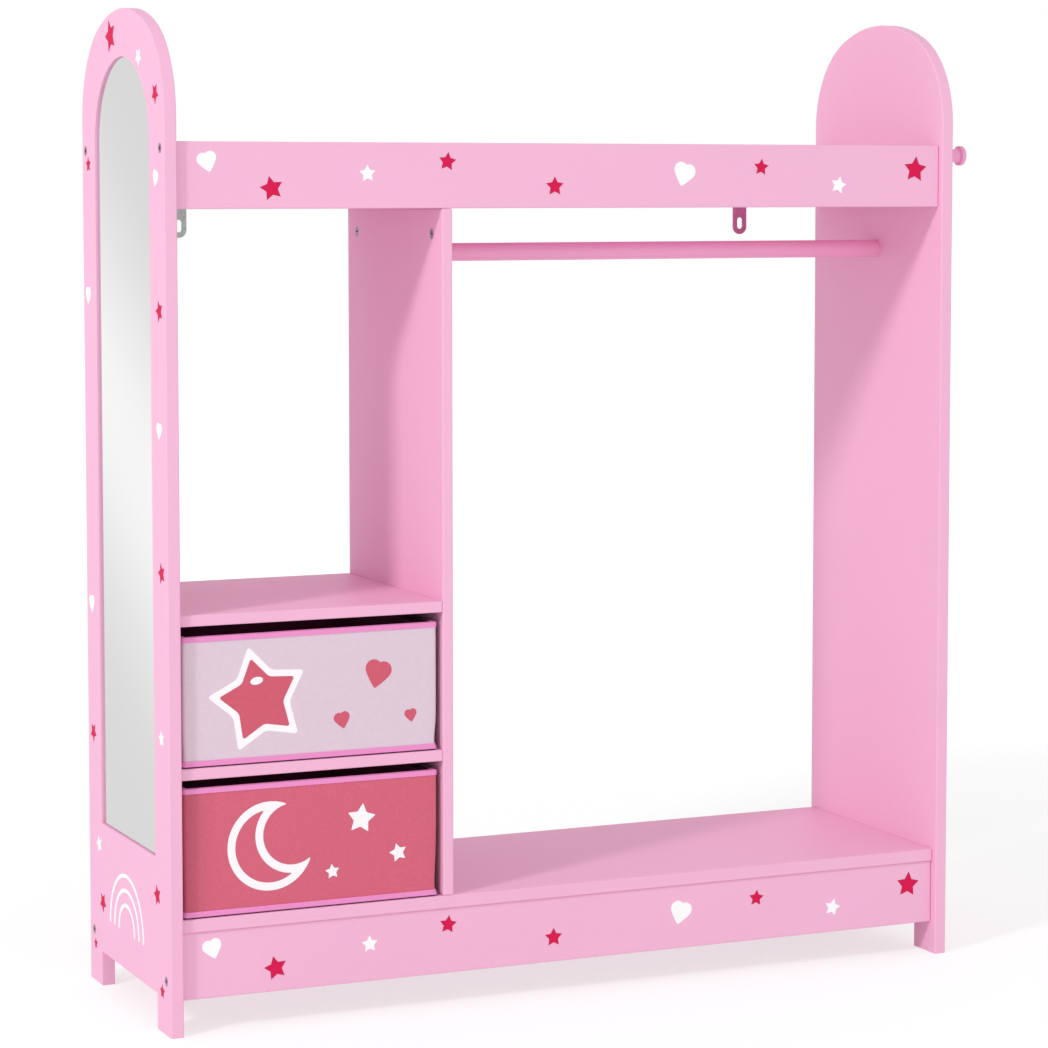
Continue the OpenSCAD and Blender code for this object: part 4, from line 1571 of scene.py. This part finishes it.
    def outer_cloth(self) -> Piece:
        """Builds the plum walls, which lie a little back behind the print, and the underside.

        Returns:
            The new piece.
        """
        mesh = bmesh.new()
        start, end = self.front_ends(self.cloth_wrap)
        edges = [
            place + side * self.cloth_edge * MM
            for place in (end, self.around + start) for side in (-1, 1)
        ]
        profile = self.sheet_profile(0.0, self.cloth_t, (self.cloth_rise, 0.0), self.cloth_rows)
        sweep(with_stops(self.outline, edges), profile, self.wall_swell, mesh)
        t = self.cloth_t * MM
        low, high = (self.low.x + t, self.low.y + 2 * t), (self.high.x - t, self.high.y - t)
        rings = raised(
            ((30.0, 0.0), (4.0, 0.0), (0.0, 0.1), (0.0, 0.9), (4.0, 1.0), (30.0, 1.0)),
            self.low.z + self.cloth_rise / 2 * MM,
        )
        lay_slab(low, high, self.corner_r * MM, rings, mesh)
        return self.piece("outer_cloth", mesh, PLUM_CLOTH, Slot.PLUM_CLOTH, "shell")

    def printed_front(self) -> Piece:
        """Builds the printed cloth over the front, which ends just behind the foot tape.

        Returns:
            The new piece.
        """
        mesh = bmesh.new()
        free = (self.foot_tape_rise + self.print_lap, 0.0)
        profile = self.sheet_profile(0.0, self.print_t, free, self.cloth_rows)
        sweep(self.front_stretch(self.cloth_wrap), profile, self.swell, mesh, ring=False)
        return self.piece("printed_front", mesh, self.cloth, self.slot, "front_cloth")

    def wall_cards(self) -> Piece:
        """Builds the four stiffeners between the outer cloth and the lining.

        Returns:
            The new piece.
        """
        mesh = bmesh.new()
        profile = self.sheet_profile(
            self.card_inset, self.card_t, self.card_free, self.inner_rows
        )
        margin, start = self.card_margin * MM, 0.0
        for wall in Wall:
            length = self.front if wall in (Wall.FRONT, Wall.BACK) else self.side
            run = stretch(self.outline, start + margin, start + length - margin)
            sweep(run, profile, self.swell, mesh, ring=False)
            start += length + self.corner
        return self.piece("wall_stiffeners", mesh, GREYBOARD, Slot.GREYBOARD, "wall_cards")

    def lining(self) -> Piece:
        """Builds the lining of the walls: a real plum lining, made a lighter magenta as painted
        light for the bin's shaded inside.

        Returns:
            The new piece.
        """
        mesh = bmesh.new()
        profile = self.sheet_profile(
            self.lining_inset, self.lining_t, self.lining_free, self.inner_rows
        )
        sweep(self.outline, profile, self.inner_swell, mesh)
        return self.piece("lining", mesh, LINING_WITH_PAINTED_LIGHT, Slot.PLUM_CLOTH)

    def base_board(self) -> Piece:
        """Builds the base board in its cover of lining cloth, with soft edges and a slight crown.

        Returns:
            The new piece.
        """
        mesh = bmesh.new()
        low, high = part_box(self.name("base_board"))
        t = self.board_t
        rings = raised(
            (
                (25.0, 0.0), (1.2, 0.0), (0.3, 0.4), (0.0, t / 2), (0.3, t - 0.5), (1.3, t),
                (9.0, t + 0.3), (30.0, t + 0.6), (70.0, t + 0.7),
            ),
            low.z + 0.1 * MM,
        )
        lay_slab((low.x, low.y), (high.x, high.y), self.board_corner_r * MM, rings, mesh)
        # The cover takes the lining's lighter magenta, which is painted light.
        return self.piece("covered_base_board", mesh, LINING_WITH_PAINTED_LIGHT, Slot.PLUM_CLOTH, "base_board")

    def fold_profile(self) -> list[Point2]:
        """Draws the section of a strip that is folded over the rim and sewn through below it.

        Returns:
            The section, which is pinched where the seam runs.
        """
        t, h, wall = self.tape_t, self.rim_tape_h, self.lining_inset + self.lining_t
        inside = -wall - t
        points = (
            (0.1, 0.0), (t, 0.1), (t + 0.1, 0.7), (t - 0.15, 1.3), (t + 0.05, 2.4),
            (t + 0.05, h - 0.9), (t - 0.25, h + 0.1), (-0.6, h + 0.62), (-wall / 2, h + t),
            (0.6 - wall, h + 0.62), (inside + 0.25, h + 0.1), (inside, h - 0.9), (inside, 2.4),
            (inside + 0.15, 1.3), (inside, 0.7), (inside, 0.1), (-wall - 0.1, 0.0),
            (-wall - 0.05, h - 0.1), (-0.05, h - 0.1),
        )
        return raised(points, self.high.z - h * MM)

    def rim_strips(self) -> list[Piece]:
        """Builds the pink tape over the front's rim and the plum hem over the rest of it.

        Returns:
            The two new pieces.
        """
        strips = (
            ("folded_rim_tape", self.front_stretch, PINK_TAPE, Slot.TAPE, "rim_binding"),
            ("folded_rim_hem", self.rest_stretch, PLUM_CLOTH, Slot.PLUM_CLOTH, "rim_hem"),
        )
        pieces = []
        for part, run, finish, slot, node in strips:
            mesh = bmesh.new()
            sweep(run(self.tape_wrap), self.fold_profile(), self.rim_swell, mesh, ring=False)
            pieces.append(self.piece(part, mesh, finish, slot, node))
        return pieces

    def foot_tape(self) -> Piece:
        """Builds the pink tape that is sewn along the foot of the front.

        Returns:
            The new piece.
        """
        mesh = bmesh.new()
        h, t = self.foot_tape_h, self.tape_t
        points = (
            (-0.05, 0.0), (t - 0.3, 0.0), (t, 0.35), (t + 0.1, 2.0), (t - 0.15, h - 1.6),
            (t + 0.05, h - 0.8), (t, h - 0.1), (0.1, h), (-0.05, h - 0.4),
        )
        profile = raised(points, self.low.z + self.foot_tape_rise * MM)
        sweep(self.front_stretch(self.tape_wrap), profile, self.swell, mesh, ring=False)
        return self.piece("foot_tape", mesh, PINK_TAPE, Slot.TAPE, "base_binding")

    def stitches(self) -> list[Piece]:
        """Builds the rows of stitches along the tapes and the hem, each in its own thread.

        Returns:
            The two new pieces.
        """
        skin = (self.tape_t - self.stitch_sink) * MM
        inner = -(self.lining_inset + self.lining_t) * MM - skin
        rim = self.high.z - (self.rim_tape_h - self.rim_seam) * MM
        foot = self.low.z + (self.foot_tape_rise + self.foot_tape_h - self.foot_seam) * MM
        front, rest = self.front_stretch(self.tape_wrap), self.rest_stretch(self.tape_wrap)
        pink, plum = bmesh.new(), bmesh.new()
        for mesh, run, reach, height, side in (
            (pink, front, skin, rim, 1), (pink, front, inner, rim, -1),
            (pink, front, skin, foot, 1), (plum, rest, skin, rim, 1),
            (plum, rest, inner, rim, -1),
        ):
            self.stitch_row(mesh, run, reach, height, side)
        return [
            self.piece("tape_stitches", pink, PINK_THREAD, Slot.TAPE),
            self.piece("hem_stitches", plum, PLUM_THREAD, Slot.PLUM_CLOTH),
        ]

    def stitch_row(
        self, mesh: Mesh, points: Sequence[RimPoint], reach: float, height: float, side: int
    ) -> None:
        """Builds one row of stitches along a stretch of the outline.

        Args:
            mesh: The mesh that takes the faces.
            points: The stretch of the outline.
            reach: The row's distance outward from the outline, in metres.
            height: Its height.
            side: 1 where the stitches show outside, -1 inside.
        """
        length = points[-1].along - points[0].along
        count = int(length / (self.stitch_pitch * MM))
        segment = 0
        for k in range(count):
            target = points[0].along + length * (k + 0.5) / count
            while points[segment + 1].along <= target:
                segment += 1
            a, b = points[segment], points[segment + 1]
            u = (target - a.along) / (b.along - a.along)
            out = reach + self.swell(a, height) * (1 - u) + self.swell(b, height) * u
            normal = Vector((a.nx * (1 - u) + b.nx * u, a.ny * (1 - u) + b.ny * u, 0)).normalized()
            spot = Vector((a.x * (1 - u) + b.x * u, a.y * (1 - u) + b.y * u, height)) + normal * out
            self.stitch(mesh, spot, Vector((-normal.y, normal.x, 0)), normal * side)

    def stitch(self, mesh: Mesh, spot: Vector, run: Vector, out: Vector) -> None:
        """Builds one stitch: a short thread that dives into the tape at both ends.

        Args:
            mesh: The mesh that takes the faces.
            spot: Its middle.
            run: The direction of the seam.
            out: The direction away from the tape.
        """
        r, half, sides = self.stitch_r * MM, self.stitch_len * MM / 2, 5
        up = run.cross(out)
        # Each ring: its place along the stitch, its thickness and its rise, as shares.
        form = ((-1.0, 0.5, -0.9), (-0.55, 1.0, 0.25), (0.55, 1.0, 0.25), (1.0, 0.5, -0.9))
        rings = []
        for along, size, rise in form:
            centre = spot + run * half * along + out * r * rise
            rings.append([
                mesh.verts.new(centre + (up * math.cos(a) + out * math.sin(a)) * r * size)
                for a in (math.tau * i / sides for i in range(sides))
            ])
        close_rings(rings, mesh)

    def printing(self) -> list[Piece]:
        """Builds the figures printed on the front and returns their pieces."""
        raise NotImplementedError(self.body.value)

    def print_piece(
        self, part: str, finish: Finish, figures: Iterable[Sequence[Point2]], lift: float
    ) -> Piece:
        """Builds the figures of one ink.

        Args:
            part: The piece's name without the bin's.
            finish: The ink.
            figures: The filled outlines, in metres.
            lift: The ink's height over the cloth, in millimetres.

        Returns:
            The new piece.
        """
        mesh = bmesh.new()
        for outline in figures:
            lay_figure(outline, self.on_front, lift * MM, mesh, cell=self.print_cell * MM)
        return self.piece(part, mesh, finish, self.slot)

    def build(self) -> list[Piece]:
        """Builds the whole bin.

        Returns:
            Its pieces.
        """
        return [
            self.outer_cloth(), self.printed_front(), self.wall_cards(), self.lining(),
            self.base_board(), *self.rim_strips(), self.foot_tape(), *self.stitches(),
            *self.printing(),
        ]


@dataclass
class LilacBin(FabricBin):
    """The upper bin: pale lilac, with one big soft star outlined in white and small hearts.

    Each heart is given as its size, its place as seen and its turn.
    """

    star_centre: Point2 = (-383.0, 346.0)
    star_size: float = 104.0
    star_turn: float = 12.0
    star_valley: float = 0.58
    star_face: float = 0.78  # the red star's share of the white one's size
    hearts: tuple[tuple[float, Point2, float], ...] = (
        (30.0, (-251.0, 364.0), -14.0), (18.0, (-291.0, 318.0), 12.0),
        (14.0, (-213.0, 318.0), 8.0),
    )
    glint_centre: Point2 = (-386.0, 366.0)
    glint_reach: Point2 = (7.0, 4.0)
    glint_turn: float = 10.0

    def printing(self) -> list[Piece]:
        """Builds the star and the hearts.

        Returns:
            The new pieces.
        """
        plump = soft_star(self.star_size * MM, self.star_valley)
        border, face = (
            moved(
                [(u * share, v * share) for u, v in plump], in_metres(self.star_centre),
                self.star_turn,
            )
            for share in (1.0, self.star_face)
        )
        hearts = [
            moved(heart_outline(size * MM), in_metres(centre), turn)
            for size, centre, turn in self.hearts
        ]
        wide, tall = in_metres(self.glint_reach)
        turns = [math.tau * i / 24 for i in range(24)]
        glint = [(wide * math.cos(a), tall * math.sin(a)) for a in turns]
        shine = moved(glint, in_metres(self.glint_centre), self.glint_turn)
        return [
            self.print_piece("white_star_border", WHITE_INK, [border], 0.10),
            self.print_piece("dusty_red_star_and_hearts", RED_INK, [face, *hearts], 0.17),
            self.print_piece("white_star_glint", WHITE_INK, [shine], 0.24),
        ]


@dataclass
class RedBin(FabricBin):
    """The lower bin: dusty red, with a crescent moon in a broad white border, and stars.

    A moon is given as its radius and that of its bite, and each star as its size, its place as
    seen and its turn.
    """

    moon_centre: Point2 = (-372.0, 191.0)
    moon_turn: float = 24.0
    moon_shift: float = 27.0
    moon_border: Point2 = (47.3, 32.7)
    moon_face: Point2 = (38.7, 41.3)
    star_valley: float = STAR_VALLEY
    stars: tuple[tuple[float, Point2, float], ...] = (
        (30.0, (-270.0, 212.0), -8.0), (19.0, (-228.0, 172.0), 14.0),
        (15.0, (-303.0, 158.0), 6.0),
    )

    def printing(self) -> list[Piece]:
        """Builds the moon and the stars.

        Returns:
            The new pieces.
        """
        border, face = (
            moved(
                crescent_outline(*in_metres(sizes), self.moon_shift * MM, passes),
                in_metres(self.moon_centre), self.moon_turn,
            )
            for sizes, passes in ((self.moon_border, 3), (self.moon_face, 2))
        )
        stars = [
            moved(soft_star(size * MM, self.star_valley), in_metres(centre), turn)
            for size, centre, turn in self.stars
        ]
        return [
            self.print_piece("white_moon_and_stars", WHITE_INK, [border, *stars], 0.12),
            self.print_piece("red_moon_field", self.cloth, [face], 0.19),
        ]


# ---------------------------------------------------------------------------------------------
# Studio and camera
# ---------------------------------------------------------------------------------------------


@dataclass(frozen=True)
class Lamp:
    """A round soft lamp that shines on the unit and shows in no reflection.

    Lengths are in metres, and way is the direction in which its light travels.
    """

    name: str
    watts: float
    distance: float
    size: float
    way: Point3
    aim: Point3 = (0.0, 0.0, 0.5)

    def build(self) -> None:
        """Builds the lamp at its distance from the place that it aims at."""
        data = bpy.data.lights.new(self.name, "AREA")
        data.shape = "DISK"
        data.size = self.size
        data.energy = self.watts
        lamp = link_object(self.name, data)
        way = Vector(self.way).normalized()
        lamp.location = Vector(self.aim) - way * self.distance
        lamp.rotation_euler = way.to_track_quat("-Z", "Y").to_euler()
        lamp.visible_camera = False
        lamp.visible_glossy = False


@dataclass
class Studio:
    """A white studio: a pale floor, an even dome of light, two lamps and a card for the mirror.

    Lengths are in metres unless a name says otherwise.
    """

    ambient: float = 0.71
    lamps: tuple[Lamp, ...] = (
        Lamp("key_softbox", 216.0, 8.0, 1.0, (0.78, 0.375, -0.5)),
        Lamp("front_fill", 29.0, 6.0, 2.5, (0.0, 1.0, -0.1)),
    )
    floor_half: float = 40.0
    floor_drop_mm: float = 0.2
    floor_tone: str = "#DCDCDC"
    floor_seen_tone: str = "#B4B4B4"
    floor_speck: str = "#808080"
    floor_speck_share: float = 0.04
    floor_fibre_mm: float = 6.25  # real fibres are finer: drawn coarser, so that they show
    floor_glow: float = 0.62
    floor_far_glow: float = 0.78
    floor_glow_span: Point2 = (1.0, 5.0)
    floor_bounce: float = 0.27
    card_back: float = 0.62
    card_span: Point2 = (-3.2, -0.488)
    card_height: float = 2.2
    card_tone: float = 0.82
    card_glint: float = 0.27
    card_band: Point2 = (-0.665, 0.573)  # a place in the middle of one band
    card_period: float = 1.5
    card_slope: float = 2.1
    card_power: float = 4.0  # the higher it is, the narrower are the bands

    def build(self) -> None:
        """Builds the world, the floor, the lamps and the card."""
        self.world()
        self.floor()
        for lamp in self.lamps:
            lamp.build()
        self.mirror_card()

    def seen_directly(self, tree: Tree) -> Node:
        """Tells the rays that only show the studio from those that light the unit.

        Args:
            tree: The node tree to add to.

        Returns:
            The node that gives 1 to rays from the camera, a reflection or through glass.
        """
        path = add_node(tree, "LightPath")
        rays = {0: path.outputs["Is Camera Ray"], 1: path.outputs["Is Glossy Ray"]}
        first = add_node(tree, "Math", rays, operation="MAXIMUM")
        through = path.outputs["Is Transmission Ray"]
        return add_node(tree, "Math", {0: first, 1: through}, operation="MAXIMUM")

    def sheet(
        self, name: str, corners: Iterable[Point3], material: bpy.types.Material
    ) -> Piece:
        """Builds a flat sheet of the studio.

        Args:
            name: Its name.
            corners: Its corners.
            material: What it is made of.

        Returns:
            The new object.
        """
        mesh = bmesh.new()
        mesh.faces.new([mesh.verts.new(corner) for corner in corners])
        data = bpy.data.meshes.new(name)
        mesh.to_mesh(data)
        mesh.free()
        data.materials.append(material)
        return link_object(name, data)

    def world(self) -> None:
        """Builds a dome that lights evenly and is seen as plain white."""
        world = bpy.data.worlds.new("white_studio")
        bpy.context.scene.world = world
        tree = empty_tree(world)
        light = {"Value": self.seen_directly(tree), "To Min": self.ambient, "To Max": 1.0}
        dome = {"Color": linear("#FFFFFF"), "Strength": add_node(tree, "MapRange", light)}
        add_node(tree, "OutputWorld", {"Surface": add_node(tree, "Background", dome)})

    def floor(self) -> None:
        """Builds the pale floor, which keeps the unit's shadow and pales with the distance."""
        paper = bpy.data.materials.new("white_studio_paper")
        tree = empty_tree(paper)
        place = add_node(tree, "TexCoord").outputs["Object"]
        laid = {"Vector": place, "Scale": per_mm(self.floor_fibre_mm), "Detail": 2.0}
        fibre = {0: add_node(tree, "TexNoise", laid), 1: self.floor_speck_share}
        speck = add_node(tree, "Math", fibre, operation="MULTIPLY")
        seen = self.seen_directly(tree)
        tones = {0: seen, 6: linear(self.floor_tone), 7: linear(self.floor_seen_tone)}
        tone = add_node(tree, "Mix", tones, data_type="RGBA")
        specks = {0: speck, 6: tone, 7: linear(self.floor_speck)}
        grain = add_node(tree, "Mix", specks, data_type="RGBA")
        matt = add_node(tree, "BsdfDiffuse", {"Color": grain})
        near, far = self.floor_glow_span
        paling = {
            "Value": add_node(tree, "VectorMath", {0: place}, operation="LENGTH"),
            "From Min": near, "From Max": far, "To Min": self.floor_glow,
            "To Max": self.floor_far_glow,
        }
        strengths = {0: seen, 2: self.floor_bounce, 3: add_node(tree, "MapRange", paling)}
        strength = add_node(tree, "Mix", strengths, data_type="FLOAT")
        glow = add_node(tree, "Emission", {"Color": linear("#FFFFFF"), "Strength": strength})
        both = add_node(tree, "AddShader", {0: matt, 1: glow})
        add_node(tree, "OutputMaterial", {"Surface": both})
        half, z = self.floor_half, -self.floor_drop_mm * MM
        corners = ((-half, -half, z), (half, -half, z), (half, half, z), (-half, half, z))
        floor = self.sheet("studio_floor", corners, paper)

    def mirror_card(self) -> None:
        """Builds a grey card with slanting pale bands, which only reflections show."""
        grey = bpy.data.materials.new("grey_card_with_pale_bands")
        tree = empty_tree(grey)
        place = add_node(tree, "TexCoord").outputs["Object"]
        axes = add_node(tree, "SeparateXYZ", {"Vector": place})
        band_x, band_z = self.card_band
        steps = (
            ("MULTIPLY_ADD", -self.card_slope, axes.outputs["Z"]),
            ("SUBTRACT", band_z - self.card_slope * band_x),
            ("MULTIPLY", math.tau / self.card_period),
            ("COSINE",),
            ("MULTIPLY_ADD", 0.5, 0.5),
            ("POWER", self.card_power),
            ("MULTIPLY_ADD", self.card_glint, self.card_tone),
        )
        value = axes
        for operation, *rest in steps:
            values = dict(enumerate((value, *rest)))
            value = add_node(tree, "Math", values, operation=operation)
        glow = add_node(tree, "Emission", {"Color": linear("#FFFFFF"), "Strength": value})
        add_node(tree, "OutputMaterial", {"Surface": glow})
        (left, right), y, top = self.card_span, self.card_back, self.card_height
        corners = ((left, y, 0.0), (right, y, 0.0), (right, y, top), (left, y, top))
        card = self.sheet("mirror_card", corners, grey)
        card.visible_camera = False
        card.visible_diffuse = False
        card.visible_shadow = False
        card.visible_transmission = False


@dataclass
class PhotoCamera:
    """The camera, at the place and angle from which the unit is seen in the picture.

    The place is in metres, the turns are in degrees, and the lens and sensor in millimetres.
    """

    place: Point3 = (-1.47897, -3.26632, 0.87419)
    yaw: float = -23.747
    pitch: float = -4.363
    roll: float = -0.041
    lens: float = 110.08
    sensor: float = 36.0
    shift: Point2 = (0.01686, -0.08446)

    def build(self) -> None:
        """Builds the camera and makes it the scene's."""
        data = bpy.data.cameras.new("photo_camera")
        data.sensor_width = self.sensor
        data.lens = self.lens
        data.shift_x, data.shift_y = self.shift
        camera = link_object("photo_camera", data)
        turn = Matrix.Rotation(math.radians(self.yaw), 4, "Z")
        turn @= Matrix.Rotation(math.radians(90 + self.pitch), 4, "X")
        turn @= Matrix.Rotation(math.radians(self.roll), 4, "Z")
        camera.matrix_world = Matrix.Translation(self.place) @ turn
        bpy.context.scene.camera = camera


def main() -> None:
    """Builds every class in order and reports each piece."""
    logging.basicConfig(level=logging.INFO, format="%(name)s: %(message)s")
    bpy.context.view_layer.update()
    bpy.context.scene.view_settings.view_transform = "Standard"
    PhotoCamera().build()
    for name in Carcass(frame["nodes"]).dress():
        LOG.info("dressed %s", name)
    pieces = Decoration().build()
    for cloth_bin in (
        LilacBin(Body.UPPER_BIN, LILAC_CLOTH, Slot.PALE_CLOTH, 11, tuck_reach=0.13, rim_tilt=1.3),
        RedBin(Body.LOWER_BIN, RED_CLOTH, Slot.RED_CLOTH, 23, tuck_reach=0.28),
    ):
        pieces += cloth_bin.build()
    for piece in pieces:
        LOG.info("built %s, %d faces", piece.name, len(piece.data.polygons))
    Studio().build()


if __name__ == "__main__":
    main()
